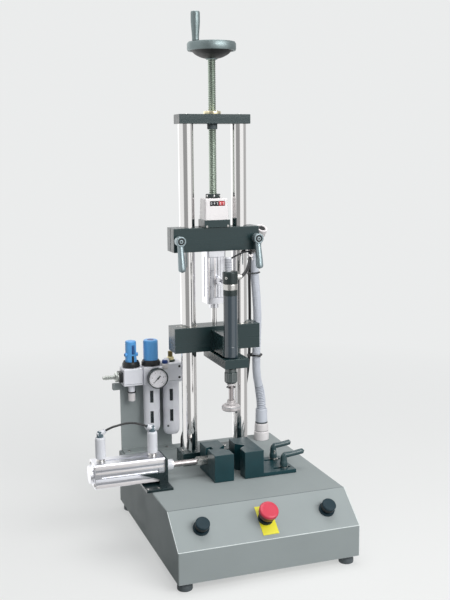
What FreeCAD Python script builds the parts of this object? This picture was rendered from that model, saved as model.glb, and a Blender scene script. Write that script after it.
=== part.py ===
import FreeCAD
import Part
import math
import os

# Tabletop capping machine: a sheet metal cabinet carries two guide columns, a hand-set carriage
# with an air lift cylinder, a capping head below it, a pair of bottle jaws and an air unit.
# Lengths are in millimetres. The pieces are drawn in the deck's frame: X runs to the right,
# Y to the back from the front edge of the flat deck, and Z up from the deck's surface.
# At export they are moved so that the origin is at the bottom centre of the whole machine.

V = FreeCAD.Vector

# Cabinet
cabinet_width = 400.0
deck_depth = 422.0
slope_run = 75.0
slope_drop = 59.0
lip_height = 67.0
sheet = 2.0
bend_radius = 3.0
flange_width = 34.0
foot_radius = 15.0
foot_height = 20.0
foot_inset_x = 20.0
foot_inset_front = 23.0
foot_inset_rear = 22.0
foot_screw_radius = 3.0

# Clearances
fit_gap = 0.05
body_gap = 0.3
slot_gap = 0.3

# Columns and the bars that hold them
column_radius = 17.5
column_spacing = 125.0
column_setback = 146.0
base_bar_wall = 8.0
base_bar_side = 8.5
base_bar_height = 30.0
beam_thickness = 10.0
column_screw_radius = 5.0
column_screw_depth = 25.0
top_bar_wall = 3.5
top_bar_side = 4.5
top_bar_height = 21.0
top_bar_clearance = 23.7
column_seat = 12.0
edge_chamfer = 0.8

# Spindle, nut and handwheel
spindle_radius = 9.0
spindle_end_drop = 2.0
nut_radius = 14.0
nut_flange_radius = 19.5
nut_flange_height = 7.0
nut_sleeve_radius = 11.5
nut_sleeve_height = 12.0
collar_radius = 13.0
collar_height = 10.0
collar_floor = 22.0
wheel_radius = 54.5
wheel_rim_width = 7.5
wheel_rim_height = 18.5
wheel_rim_rise = 19.0
wheel_rim_rounding = 3.0
wheel_hub_radius = 13.5
wheel_clearance = 62.0
wheel_hub_height = 28.0
wheel_web_thickness = 5.0
crank_radius = 43.7
crank_angle = 198.5
crank_boss_radius = 8.0
crank_pin_radius = 4.0
crank_length = 62.0
crank_bottom_radius = 7.8
crank_top_radius = 10.2

# Carriage: clamp crossbar with its two levers
clamp_bar_wall = 22.0
clamp_bar_side = 8.5
clamp_bar_height = 54.0
clamp_bar_z = 498.0
clamp_slit = 3.0
lever_stud_gap = 12.0
lever_stud_radius = 4.0
lever_stud_seat = 39.0
lever_boss_radius = 11.5
lever_boss_length = 26.0
lever_arm_length = 66.0
lever_arm_tilt = 12.0
lever_arm_root_radius = 7.0
lever_arm_tip_radius = 8.5

# Position indicator on the clamp crossbar
indicator_width = 57.0
indicator_depth = 42.0
indicator_front = 28.0
indicator_height = 48.0
indicator_wall = 2.5
indicator_taper = 4.0
indicator_base_height = 17.0
indicator_base_margin = 2.0
indicator_sleeve_radius = 12.0
indicator_ring_radius = 16.5
indicator_ring_height = 9.0
window_width = 36.0
window_height = 11.0
window_x = 2.0
window_drop = 6.0

# Air cylinders, both cut from the same square profile
lift_profile = 45.0
clamp_profile = 54.0
profile_corner = 5.0
profile_groove = 6.0
profile_groove_depth = 3.0
cylinder_wall = 3.5
cylinder_cap = 14.0
piston_length = 12.0
lift_length = 121.0
lift_rod_radius = 6.0
lift_gland_wall = 4.5
lift_gland_height = 12.0
lift_rod_seat = 25.0
lift_port_radius = 9.5
lift_port_bore = 5.0
lift_port_length = 12.0
lift_port_x = 4.0
lift_port_rise = 53.0
lift_piston_room = 10.0

# Head: slide crossbar, driver and chuck
slide_bar_wall = 20.0
slide_bar_side = 5.5
slide_bar_height = 57.5
stroke_margin = 4.5
bush_wall = 3.0
bush_length = 20.0
head_x = 1.5
head_reach = 107.0
driver_radius = 15.5
driver_height = 167.0
driver_block_radius = 17.0
driver_block_height = 27.0
silencer_radius = 8.5
silencer_offset = 4.5
silencer_height = 31.0
driver_nose_radius = 10.0
nose_block_width = 36.0
nose_block_height = 45.0
nose_block_drop = 5.0
support_left = 20.5
support_right = 35.5
support_front_margin = 21.0
support_thickness = 21.0
driver_nut_radius = 14.5
driver_nut_height = 34.0
driver_nut_gap = 2.0
driver_nut_collar = 9.0
shaft_radius = 6.5
shaft_ring_radius = 10.0
shaft_ring_height = 3.0
shaft_ring_gap = 5.0
shaft_length = 49.5
shaft_seat = 10.0
disc_radius = 21.0
disc_thickness = 9.0
disc_shoulder_radius = 17.0
disc_shoulder_height = 4.0
disc_hub_radius = 8.8
disc_height = 23.0
disc_recess_radius = 9.0
disc_recess_depth = 8.0
disc_pin_radius = 2.8
disc_pin_length = 8.0
disc_pin_offset = 12.0

# Bottle jaws
jaw_length = 107.0
jaw_height = 62.0
jaw_thickness = 45.0
jaw_front_reach = 49.0
left_jaw_face = -10.0
right_jaw_face = 16.0
notch_depth = 18.0
foot_plate_length = 79.0
foot_plate_width = 100.0
foot_plate_thickness = 9.0
slot_start = 31.0
slot_end_wall = 6.0
stud_radius = 4.0
stud_offset = 4.5
stud_front_inset = 20.0
stud_rear_inset = 22.0
washer_radius = 9.0
washer_height = 2.0
hand_lever_hub_radius = 8.5
hand_lever_hub_height = 27.0
hand_lever_arm_length = 45.0
hand_lever_arm_rise = 11.0
hand_lever_arm_root_radius = 5.5
hand_lever_arm_tip_radius = 6.0

# Clamp cylinder with its foot, rod and coupler
clamp_axis_offset = 7.0
clamp_axis_clearance = 3.5
clamp_stroke = 25.0
clamp_rod_margin = 30.0
clamp_length = 155.0
clamp_end_boss_radius = 19.5
clamp_end_boss_length = 8.0
clamp_collar_wall = 5.5
clamp_collar_length = 25.0
clamp_rod_radius = 6.5
clamp_piston_room = 24.0
coupler_radius = 11.0
coupler_length = 25.0
coupler_neck_radius = 5.0
coupler_head_radius = 8.5
coupler_neck_length = 6.5
coupler_head_length = 6.5
clamp_foot_thickness = 5.0
clamp_foot_front = 62.0
clamp_foot_rear = 55.0
clamp_foot_length = 51.0
clamp_foot_lip = 3.0
cheek_length = 56.0
cheek_root = 14.0
cheek_top = 32.0
cheek_thickness = 5.0
upright_top = 60.0
valve_radius = 11.0
valve_base_radius = 8.0
valve_base_height = 6.0
valve_body_height = 45.0
valve_neck_radius = 7.0
valve_neck_height = 16.0
valve_elbow_radius = 5.5
valve_elbow_length = 13.0
valve_elbow_rise = 25.0
valve_left_inset = 18.5
valve_right_inset = 20.5

# Air unit on its bracket at the rear left
unit_inset = 78.0
unit_gap = 2.0
unit_setback = 27.0
unit_body_width = 47.0
unit_body_depth = 44.0
unit_body_z = 171.0
unit_body_height = 41.0
oiler_head_rise = 6.0
unit_collar_radius = 21.0
unit_collar_height = 11.0
shutoff_knob_radius = 14.0
shutoff_knob_height = 49.0
regulator_knob_radius = 17.5
regulator_knob_height = 50.0
bowl_gap = 2.5
bowl_wall = 2.0
guard_radius = 20.0
guard_wall = 2.0
filter_guard_length = 119.0
oiler_guard_length = 132.0
guard_slot_width = 8.0
guard_slot_turn = -13.0
guard_slot_length = 30.0
guard_slot_drop = 17.0
guard_slot_pitch = 51.0
unit_silencer_radius = 7.8
unit_silencer_length = 42.0
oil_plug_radius = 5.5
oil_plug_height = 25.0
sight_dome_radius = 7.5
sight_dome_height = 6.0
sight_dome_x = 14.0
sight_dome_y = 9.0
bracket_thickness = 3.0
bracket_left_reach = 23.0
bracket_right_reach = 7.0
bracket_top_drop = 13.0
bracket_foot = 34.0
bracket_lug_width = 19.0
bracket_lug_overlap = 2.0
bracket_lug_height = 15.0
bracket_lug_depth = 10.0
gauge_radius = 24.5
gauge_depth = 17.0
gauge_offset = 4.5
gauge_rise = 18.5
gauge_stand = 12.0
gauge_floor = 6.0
gauge_wall = 2.0
gauge_stem_radius = 6.0
gauge_glass_thickness = 1.5
needle_margin = 5.5
needle_width = 2.4
needle_pivot_radius = 1.5
needle_zero = -135.0
inlet_block = 12.0
inlet_nut_radius = 11.0
inlet_nut_length = 8.0
inlet_rise = 20.5
outlet_drop = 8.0
barb_radius = 4.5
barb_rib_radius = 6.0
barb_rib_pitch = 6.0
barb_rib_count = 3
barb_tip_length = 9.0

# Controls on the slope
button_inset = 60.0
button_radius = 15.0
button_cap_height = 9.0
button_stem_radius = 8.0
button_lift = 9.0
button_collar_radius = 17.0
button_collar_height = 4.0
button_travel = 4.0
stop_radius = 20.0
stop_cap_height = 14.0
stop_lift = 14.0
stop_travel = 5.0
stop_collar_height = 7.0
stop_plate_width = 37.0
stop_plate_length = 72.0
stop_plate_thickness = 1.0
control_hole_radius = 11.0
contact_block_size = 28.0
contact_block_depth = 34.0
manifold_width = 140.0
manifold_depth = 45.0
manifold_height = 35.0
manifold_reach = 146.0
valve_count = 5
valve_pitch = 26.0
valve_width = 20.0
valve_height = 25.0
logic_module_x = 95.0
logic_module_width = 55.0
logic_module_height = 45.0

# Glands, hoses and the conduit
conduit_radius = 10.5
conduit_inset = 41.0
conduit_setback = 42.0
gland_radius = 18.8
gland_height = 23.0
gland_neck_radius = 17.5
gland_neck_height = 23.0
conduit_sleeve_radius = 15.0
conduit_sleeve_height = 34.0
conduit_straight = 16.0
riser_straight = 44.0
hose_radius = 3.5
thin_hose_radius = 2.0
grommet_radius = 7.0
grommet_height = 5.0
riser_grommet_gap = 56.0
riser_grommet_setback = 32.0
feed_grommet_gap = 19.0
feed_grommet_setback = 50.0
union_radius = 4.5
union_length = 10.0
union_offset = 14.0
riser_union_inset = 8.0
inlet_union_inset = 14.0
exhaust_union_inset = 5.0
clip_width = 14.0
clip_reach = 24.0
clip_rise = 42.0
clip_wall = 2.5

# Travel of the moving pieces: the pieces leave room for these ranges
carriage_down = 50.0
carriage_up = 120.0
head_down = 15.0
head_up = 35.0

# Cabinet and columns
cabinet_height = slope_drop + lip_height
floor_z = -cabinet_height
half_width = cabinet_width / 2
slope_length = math.hypot(slope_run, slope_drop)
slope_angle = math.degrees(math.atan2(slope_drop, slope_run))
slope_normal = V(0, -slope_drop / slope_length, slope_run / slope_length)
foot_xs = (-half_width + foot_inset_x, half_width - foot_inset_x)
foot_ys = (-slope_run + foot_inset_front, deck_depth - foot_inset_rear)
column_y = deck_depth - column_setback
column_xs = (-column_spacing / 2, column_spacing / 2)
column_side = column_spacing / 2 + column_radius
bush_radius = column_radius + bush_wall
cap_radius = 1.6 * column_screw_radius

# Outlines of the four bars, each with its own metal beyond the columns or bushes
base_bar_half = column_side + base_bar_wall
base_bar_reach = column_radius + base_bar_side
top_bar_half = column_side + top_bar_wall
top_bar_reach = column_radius + top_bar_side
clamp_bar_half = column_side + clamp_bar_wall
clamp_bar_reach = column_radius + clamp_bar_side
slide_bar_half = column_side + bush_wall + slide_bar_wall
slide_bar_reach = bush_radius + slide_bar_side

# Heights up the columns: the carriage's rest height sets the head below and the top bar above
clamp_bar_top = clamp_bar_z + clamp_bar_height
indicator_z = clamp_bar_top + indicator_base_height
indicator_top = indicator_z + indicator_height
ring_top = indicator_top + body_gap + indicator_ring_height
top_bar_z = ring_top + carriage_up + nut_sleeve_height + top_bar_clearance
top_bar_top = top_bar_z + top_bar_height
wheel_hub_z = top_bar_top + nut_flange_height + carriage_down + wheel_clearance
wheel_rim_z = wheel_hub_z + wheel_rim_rise
spindle_top_z = wheel_hub_z + wheel_hub_height - spindle_end_drop
crank_x = crank_radius * math.cos(math.radians(crank_angle))
crank_y = column_y + crank_radius * math.sin(math.radians(crank_angle))
crank_z = wheel_rim_z + wheel_rim_height + 1.0
lift_bottom = clamp_bar_z - lift_length
lift_port_z = lift_bottom + lift_port_rise
lift_piston_z = lift_bottom + cylinder_cap + head_down + lift_piston_room
slide_bar_top = lift_bottom - lift_gland_height - head_up - stroke_margin
slide_bar_z = slide_bar_top - slide_bar_height
support_bottom = slide_bar_z - support_thickness
driver_block_z = slide_bar_z + driver_height
driver_block_top = driver_block_z + driver_block_height
silencer_top = driver_block_top + silencer_height
silencer_x = head_x - silencer_offset
driver_nut_top = support_bottom - driver_nut_gap
driver_nut_bottom = driver_nut_top - driver_nut_height
shaft_bottom = driver_nut_bottom - shaft_length
disc_bottom = shaft_bottom + shaft_seat - disc_height
head_y = column_y - head_reach
lever_stud_x = column_side + lever_stud_gap

# Cylinders and jaws
cylinder_shell = profile_groove_depth + cylinder_wall
lift_bore = lift_profile / 2 - cylinder_shell
clamp_bore = clamp_profile / 2 - cylinder_shell
lift_gland_radius = lift_rod_radius + lift_gland_wall
clamp_collar_radius = clamp_rod_radius + clamp_collar_wall
clamp_axis_y = head_y + clamp_axis_offset
clamp_axis_z = clamp_foot_thickness + clamp_axis_clearance + clamp_profile / 2
left_jaw_back = left_jaw_face - jaw_thickness
right_jaw_back = right_jaw_face + jaw_thickness
jaw_front = head_y - jaw_front_reach
coupler_left = left_jaw_back - coupler_length
clamp_end_x = coupler_left - clamp_stroke - clamp_collar_length - clamp_rod_margin
clamp_left = clamp_end_x - clamp_length
clamp_top = clamp_axis_z + clamp_profile / 2
clamp_piston_x = clamp_left + cylinder_cap + piston_length + clamp_stroke + clamp_piston_room
valve_left_x = clamp_left + valve_left_inset
valve_right_x = clamp_end_x - valve_right_inset
slot_end = foot_plate_length - slot_end_wall
stud_x = right_jaw_back + (slot_start + slot_end) / 2 + stud_offset
stud_front_y = jaw_front + stud_front_inset
stud_rear_y = jaw_front + foot_plate_width - stud_rear_inset

# Air unit
unit_x = -half_width + unit_inset
unit_y = deck_depth - unit_setback
unit_top = unit_body_z + unit_body_height
unit_front = unit_y - unit_body_depth / 2
bracket_y = unit_y + unit_body_depth / 2
shutoff_x = unit_x - unit_body_width - unit_gap
oiler_x = unit_x + unit_body_width + unit_gap
bracket_left = shutoff_x - bracket_left_reach
bracket_right = oiler_x + bracket_right_reach
bracket_top = unit_top - bracket_top_drop
bowl_radius = guard_radius - guard_wall - bowl_gap
gauge_x = unit_x + gauge_offset
gauge_z = unit_body_z + gauge_rise
gauge_front = unit_front - gauge_depth - gauge_stand
dial_y = gauge_front + gauge_depth - gauge_floor
needle_length = gauge_radius - gauge_wall - needle_margin
inlet_z = unit_body_z + inlet_rise
outlet_z = inlet_z - outlet_drop

# Controls, glands and unions
button_x = half_width - button_inset
conduit_x = half_width - conduit_inset
conduit_y = deck_depth - conduit_setback
gland_top = gland_height + gland_neck_height
conduit_straight_z = gland_top + conduit_sleeve_height + conduit_straight
riser_grommet_x = conduit_x - riser_grommet_gap
riser_grommet_y = deck_depth - riser_grommet_setback
feed_grommet_x = oiler_x + feed_grommet_gap
feed_grommet_y = deck_depth - feed_grommet_setback
riser_union_x = clamp_bar_half - riser_union_inset
riser_union_y = column_y + union_offset
inlet_union_x = clamp_bar_half - inlet_union_inset
exhaust_union_x = clamp_bar_half - exhaust_union_inset
head_union_y = column_y - union_offset


# Plain solids
def block(x0, x1, y0, y1, z0, z1):
    return Part.makeBox(x1 - x0, y1 - y0, z1 - z0, V(x0, y0, z0))


def rod(radius, height, base, direction=V(0, 0, 1)):
    return Part.makeCylinder(radius, height, base, direction)


def tube(outer, inner, height, base, direction=V(0, 0, 1)):
    return rod(outer, height, base, direction).cut(rod(inner, height, base, direction))


def cone(radius, end_radius, height, base, direction=V(0, 0, 1)):
    return Part.makeCone(radius, end_radius, height, base, direction)


def prism(points, direction):
    wire = Part.makePolygon(points + [points[0]])
    return Part.Face(wire).extrude(direction)


def turned(profile, centre, direction=V(0, 0, 1)):
    """A solid of revolution from (radius, height) points, set on an axis."""
    points = [V(r, 0, z) for r, z in profile]
    wire = Part.makePolygon(points + [points[0]])
    solid = Part.Face(wire).revolve(V(0, 0, 0), V(0, 0, 1), 360)
    solid.Placement = FreeCAD.Placement(centre, FreeCAD.Rotation(V(0, 0, 1), direction))
    return solid


def hexagon(radius, height, base, direction=V(0, 0, 1)):
    corners = [(radius * math.cos(math.radians(60 * i)), radius * math.sin(math.radians(60 * i)))
               for i in range(6)]
    solid = prism([V(x, y, 0) for x, y in corners], V(0, 0, height))
    solid.Placement = FreeCAD.Placement(base, FreeCAD.Rotation(V(0, 0, 1), direction))
    return solid


def edges_where(solid, test):
    """Straight edges whose middle point and direction pass the test."""
    found = []
    for edge in solid.Edges:
        if edge.Curve.TypeId != "Part::GeomLine":
            continue
        along = edge.Vertexes[-1].Point.sub(edge.Vertexes[0].Point)
        along.normalize()
        if test(edge.CenterOfMass, along):
            found.append(edge)
    return found


def chamfered_block(x0, x1, y0, y1, z0, z1, size=edge_chamfer):
    solid = block(x0, x1, y0, y1, z0, z1)
    return solid.makeChamfer(size, solid.Edges)


def rounded_block(x0, x1, y0, y1, z0, z1, radius):
    """A box with its upright edges and its top rim rounded."""
    solid = block(x0, x1, y0, y1, z0, z1)
    soft = edges_where(solid, lambda p, d: abs(d.z) > 0.9 or p.z > z1 - 0.01)
    return solid.makeFillet(radius, soft)


def on_slope(solid, x, up=0.0):
    """Move a solid drawn at the origin, with Z outwards, to the middle of the slope."""
    middle = V(x, -slope_run / 2, -slope_drop / 2)
    along = V(0, slope_run / slope_length, slope_drop / slope_length)
    turn = FreeCAD.Rotation(V(1, 0, 0), slope_angle)
    placed = solid.copy()
    placed.Placement = FreeCAD.Placement(middle.add(along * up), turn).multiply(solid.Placement)
    return placed


def group(solids):
    return Part.makeCompound(solids)


def route_wire(points, radii):
    """Straight runs joined by tangent arcs: each arc takes 0.45 of its shorter run."""
    edges = []
    start = points[0]
    for before, corner, after in zip(points, points[1:], points[2:]):
        incoming = corner.sub(before)
        outgoing = after.sub(corner)
        turn = incoming.getAngle(outgoing)
        reach = 0.45 * min(incoming.Length, outgoing.Length)
        radius = reach / math.tan(turn / 2)
        radii.append(radius)
        incoming.normalize()
        outgoing.normalize()
        arc_start = corner.sub(incoming * reach)
        arc_end = corner.add(outgoing * reach)
        to_centre = outgoing.sub(incoming)
        to_centre.normalize()
        centre = corner.add(to_centre * (radius / math.cos(turn / 2)))
        middle = centre.sub(to_centre * radius)
        edges.append(Part.LineSegment(start, arc_start).toShape())
        edges.append(Part.Arc(arc_start, middle, arc_end).toShape())
        start = arc_end
    edges.append(Part.LineSegment(start, points[-1]).toShape())
    return Part.Wire(edges)


def hose(name, points, radius):
    """A round tube along a route, with its bend radii and volume printed for checking."""
    radii = []
    path = route_wire([V(*p) for p in points], radii)
    ring = Part.Wire(Part.makeCircle(radius, path.Edges[0].Vertexes[0].Point,
                                     path.Edges[0].Vertexes[1].Point.sub(path.Edges[0].Vertexes[0].Point)))
    solid = path.makePipeShell([ring], True, False)
    share = solid.Volume / (math.pi * radius ** 2 * path.Length)
    print(name, "length", round(path.Length, 1), "tightest", round(min(radii), 1),
          "largest", round(max(radii), 1), "volume share", round(share, 4))
    return Part.Solid(solid) if solid.ShapeType != "Solid" else solid


# Cabinet
def cabinet_section(inset, bottom):
    """Side outline of the cabinet, moved inwards by the inset."""
    rise = inset * slope_length / slope_run
    shoulder_y = (rise - inset) * slope_run / slope_drop
    lip_top = (inset - slope_run) * slope_drop / slope_run - rise
    return [(inset - slope_run, bottom), (inset - slope_run, lip_top), (shoulder_y, -inset),
            (deck_depth - inset, -inset), (deck_depth - inset, bottom)]


def cabinet_solid(inset, bottom):
    reach = half_width - inset
    points = [V(-reach, y, z) for y, z in cabinet_section(inset, bottom)]
    return prism(points, V(2 * reach, 0, 0))


def make_cabinet_shell():
    outer = cabinet_solid(0.0, floor_z)
    soft = edges_where(outer, lambda p, d: p.z > floor_z + 0.01)
    outer = outer.makeFillet(bend_radius, soft)
    shell = outer.cut(cabinet_solid(sheet, floor_z))
    inner_x = half_width - sheet
    inner_front = -slope_run + sheet
    inner_rear = deck_depth - sheet
    flange_z = floor_z + sheet
    flange = block(-inner_x, inner_x, inner_front, inner_rear, flange_z, flange_z + sheet)
    flange = flange.cut(block(-inner_x + flange_width, inner_x - flange_width, inner_front + flange_width,
                              inner_rear - flange_width, flange_z, flange_z + sheet))
    shell = shell.fuse(flange)
    holes = [rod(foot_screw_radius + slot_gap, 3 * sheet, V(x, y, floor_z)) for x in foot_xs for y in foot_ys]
    holes += [rod(column_screw_radius + slot_gap, 3 * sheet, V(x, column_y, -2 * sheet)) for x in column_xs]
    holes.append(rod(gland_neck_radius - sheet, 3 * sheet, V(conduit_x, conduit_y, -2 * sheet)))
    holes.append(rod(hose_radius + sheet, 3 * sheet, V(riser_grommet_x, riser_grommet_y, -2 * sheet)))
    holes.append(rod(hose_radius + sheet, 3 * sheet, V(feed_grommet_x, feed_grommet_y, -2 * sheet)))
    for y in (stud_front_y, stud_rear_y):
        holes.append(rod(stud_radius + slot_gap, 3 * sheet, V(stud_x, y, -2 * sheet)))
    for x in (-button_x, 0, button_x):
        holes.append(on_slope(rod(control_hole_radius, 5 * sheet, V(0, 0, -3 * sheet)), x))
    return shell.cut(group(holes)).removeSplitter()


def make_floor_pan():
    reach_x = half_width - sheet - body_gap
    pan = block(-reach_x, reach_x, -slope_run + sheet + body_gap, deck_depth - sheet - body_gap,
                floor_z, floor_z + sheet)
    holes = [rod(foot_screw_radius + slot_gap, sheet, V(x, y, floor_z)) for x in foot_xs for y in foot_ys]
    return pan.cut(group(holes))


def make_rubber_feet():
    feet = []
    for x in foot_xs:
        for y in foot_ys:
            foot = cone(foot_radius - 2.0, foot_radius, foot_height, V(x, y, floor_z - foot_height))
            pocket = rod(2 * foot_screw_radius + slot_gap, foot_height / 2, V(x, y, floor_z - foot_height))
            through = rod(foot_screw_radius + slot_gap, foot_height, V(x, y, floor_z - foot_height))
            feet.append(foot.cut(pocket).cut(through))
    return group(feet)


def make_fixing_screws():
    screws = []
    for x in foot_xs:
        for y in foot_ys:
            head_z = floor_z - foot_height / 2 - foot_screw_radius
            head = rod(2 * foot_screw_radius, foot_screw_radius, V(x, y, head_z))
            shank = rod(foot_screw_radius, foot_height / 2 + 4 * sheet, V(x, y, head_z + foot_screw_radius))
            nut = hexagon(2 * foot_screw_radius, 2 * sheet, V(x, y, floor_z + 2 * sheet))
            screws.append(head.fuse(shank).fuse(nut))
    for x in column_xs:
        head_z = -sheet - beam_thickness - column_screw_radius
        head = hexagon(2 * column_screw_radius, column_screw_radius, V(x, column_y, head_z))
        shank = rod(column_screw_radius, sheet + beam_thickness + column_screw_depth - 1.0,
                    V(x, column_y, head_z + column_screw_radius))
        screws.append(head.fuse(shank))
        cap_z = top_bar_z + column_seat
        cap = rod(cap_radius, top_bar_height - column_seat - 1.0, V(x, column_y, cap_z))
        thread_length = column_screw_depth - 1.0
        thread = rod(column_screw_radius, thread_length, V(x, column_y, cap_z - thread_length))
        screws.append(cap.fuse(thread))
    return group(screws)


def make_column_beam():
    beam = block(-base_bar_half, base_bar_half, column_y - base_bar_reach,
                 column_y + base_bar_reach, -sheet - beam_thickness, -sheet)
    holes = [rod(column_screw_radius + slot_gap, beam_thickness, V(x, column_y, -sheet - beam_thickness))
             for x in column_xs]
    return beam.cut(group(holes))


def make_column_base_bar():
    bar = chamfered_block(-base_bar_half, base_bar_half, column_y - base_bar_reach,
                          column_y + base_bar_reach, 0, base_bar_height)
    holes = [rod(column_radius + fit_gap, base_bar_height, V(x, column_y, 0)) for x in column_xs]
    return bar.cut(group(holes))


def make_guide_columns():
    columns = []
    length = top_bar_z + column_seat
    for x in column_xs:
        column = rod(column_radius, length, V(x, column_y, 0))
        column = column.cut(rod(column_screw_radius, column_screw_depth, V(x, column_y, 0)))
        columns.append(column.cut(rod(column_screw_radius, column_screw_depth,
                                      V(x, column_y, length - column_screw_depth))))
    return group(columns)


def make_top_crossbar():
    bar = chamfered_block(-top_bar_half, top_bar_half, column_y - top_bar_reach,
                          column_y + top_bar_reach, top_bar_z, top_bar_top)
    for x in column_xs:
        bar = bar.cut(rod(column_radius + fit_gap, column_seat, V(x, column_y, top_bar_z)))
        bar = bar.cut(rod(cap_radius + slot_gap, top_bar_height, V(x, column_y, top_bar_z)))
    return bar.cut(rod(nut_radius + fit_gap, top_bar_height, V(0, column_y, top_bar_z)))


def make_spindle_nut():
    flange = rod(nut_flange_radius, nut_flange_height, V(0, column_y, top_bar_top))
    body = rod(nut_radius, top_bar_height, V(0, column_y, top_bar_z))
    sleeve = rod(nut_sleeve_radius, nut_sleeve_height, V(0, column_y, top_bar_z - nut_sleeve_height))
    bore = rod(spindle_radius + fit_gap, nut_sleeve_height + top_bar_height + nut_flange_height,
               V(0, column_y, top_bar_z - nut_sleeve_height))
    return flange.fuse(body).fuse(sleeve).cut(bore)


# Air cylinders
def profile_bar(length, size):
    """Square cylinder profile along Z from the origin, with a groove down each side."""
    half = size / 2
    bar = block(-half, half, -half, half, 0, length)
    bar = bar.makeFillet(profile_corner, edges_where(bar, lambda p, d: abs(d.z) > 0.9))
    for turn in range(4):
        groove = block(-profile_groove / 2, profile_groove / 2, half - profile_groove_depth, half, 0, length)
        groove.rotate(V(0, 0, 0), V(0, 0, 1), 90 * turn)
        bar = bar.cut(groove)
    return bar


def cap_plate(length, rod_radius, size):
    half = size / 2
    cap = block(-half, half, -half, half, 0, length)
    cap = cap.makeFillet(profile_corner, edges_where(cap, lambda p, d: abs(d.z) > 0.9))
    if rod_radius:
        cap = cap.cut(rod(rod_radius + fit_gap, length, V(0, 0, 0)))
    return cap


def air_cylinder(length, size, bore, rod_radius, gland_radius_here, gland_length):
    """Plain end at the origin, rod end and its gland towards +Z."""
    barrel_length = length - 2 * cylinder_cap
    plain_cap = cap_plate(cylinder_cap, 0, size)
    barrel = profile_bar(barrel_length, size).cut(rod(bore + fit_gap, barrel_length, V(0, 0, 0)))
    barrel.translate(V(0, 0, cylinder_cap))
    rod_cap = cap_plate(cylinder_cap, rod_radius, size)
    rod_cap = rod_cap.fuse(tube(gland_radius_here, rod_radius + fit_gap, gland_length, V(0, 0, cylinder_cap)))
    rod_cap.translate(V(0, 0, length - cylinder_cap))
    return [plain_cap, barrel, rod_cap]


def make_clamp_cylinder():
    pieces = air_cylinder(clamp_length, clamp_profile, clamp_bore, clamp_rod_radius, clamp_collar_radius,
                          clamp_collar_length)
    boss = rod(clamp_end_boss_radius, clamp_end_boss_length, V(0, 0, -clamp_end_boss_length))
    pieces[0] = pieces[0].fuse(boss)
    place = FreeCAD.Placement(V(clamp_left, clamp_axis_y, clamp_axis_z), FreeCAD.Rotation(V(0, 1, 0), 90))
    for piece in pieces:
        piece.Placement = place.multiply(piece.Placement)
    return group(pieces)


def make_clamp_rod():
    length = coupler_left - clamp_piston_x + coupler_length / 2
    shaft = rod(clamp_rod_radius, length, V(clamp_piston_x, clamp_axis_y, clamp_axis_z), V(1, 0, 0))
    piston = rod(clamp_bore, piston_length, V(clamp_piston_x - piston_length, clamp_axis_y, clamp_axis_z),
                 V(1, 0, 0))
    return shaft.fuse(piston)


def make_rod_coupler():
    axis = V(1, 0, 0)
    start = V(coupler_left, clamp_axis_y, clamp_axis_z)
    nut = hexagon(coupler_radius, coupler_length - body_gap, start, axis)
    nut = nut.cut(rod(clamp_rod_radius, coupler_length / 2, start, axis))
    neck = rod(coupler_neck_radius, coupler_neck_length + body_gap,
               V(left_jaw_back - body_gap, clamp_axis_y, clamp_axis_z), axis)
    head = rod(coupler_head_radius, coupler_head_length - 2 * slot_gap,
               V(left_jaw_back + coupler_neck_length, clamp_axis_y, clamp_axis_z), axis)
    return nut.fuse(neck).fuse(head)


def make_clamp_foot():
    half = clamp_profile / 2 + body_gap
    right = clamp_end_x + cheek_thickness
    upright = block(clamp_end_x, right, clamp_axis_y - half - cheek_thickness,
                    clamp_axis_y + half + cheek_thickness, 0, upright_top)
    upright = upright.cut(rod(clamp_collar_radius + slot_gap, cheek_thickness,
                              V(clamp_end_x, clamp_axis_y, clamp_axis_z), V(1, 0, 0)))
    foot = upright.fuse(block(clamp_end_x - clamp_foot_length, right + clamp_foot_lip,
                              clamp_axis_y - clamp_foot_front, clamp_axis_y + clamp_foot_rear,
                              0, clamp_foot_thickness))
    root_x = clamp_end_x - cheek_root
    for y in (clamp_axis_y - half - cheek_thickness, clamp_axis_y + half):
        outline = [V(clamp_end_x - cheek_length, y, cheek_top), V(clamp_end_x, y, cheek_top),
                   V(clamp_end_x, y, 0), V(root_x, y, 0), V(root_x, y, cheek_top / 2)]
        foot = foot.fuse(prism(outline, V(0, cheek_thickness, 0)))
    return foot.removeSplitter()


def elbow_tip(x, facing, distance):
    """A point on the line out of a flow valve's elbow, this far beyond its end."""
    rise = math.radians(valve_elbow_rise)
    base_z = clamp_top + valve_base_height + valve_body_height + valve_neck_height - valve_elbow_radius
    reach = distance + valve_elbow_length
    return V(x + facing * math.cos(rise) * reach, clamp_axis_y, base_z + math.sin(rise) * reach)


def make_flow_valves():
    valves = []
    for x, facing in ((valve_left_x, 1), (valve_right_x, -1)):
        stack = rod(valve_base_radius, valve_base_height, V(x, clamp_axis_y, clamp_top))
        body_z = clamp_top + valve_base_height
        body = rod(valve_radius, valve_body_height, V(x, clamp_axis_y, body_z))
        neck = rod(valve_neck_radius, valve_neck_height, V(x, clamp_axis_y, body_z + valve_body_height))
        root = elbow_tip(x, facing, -valve_elbow_length)
        elbow = rod(valve_elbow_radius, valve_elbow_length, root, elbow_tip(x, facing, 0).sub(root))
        valves.append(stack.fuse(body).fuse(neck).fuse(elbow))
    return group(valves)


# Bottle jaws
def notch(face_x, depth, height):
    """Upright V groove in a jaw face, centred on the head."""
    half = abs(depth)
    points = [V(face_x, head_y - half, 0), V(face_x - depth, head_y, 0), V(face_x, head_y + half, 0)]
    return prism(points, V(0, 0, height))


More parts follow.
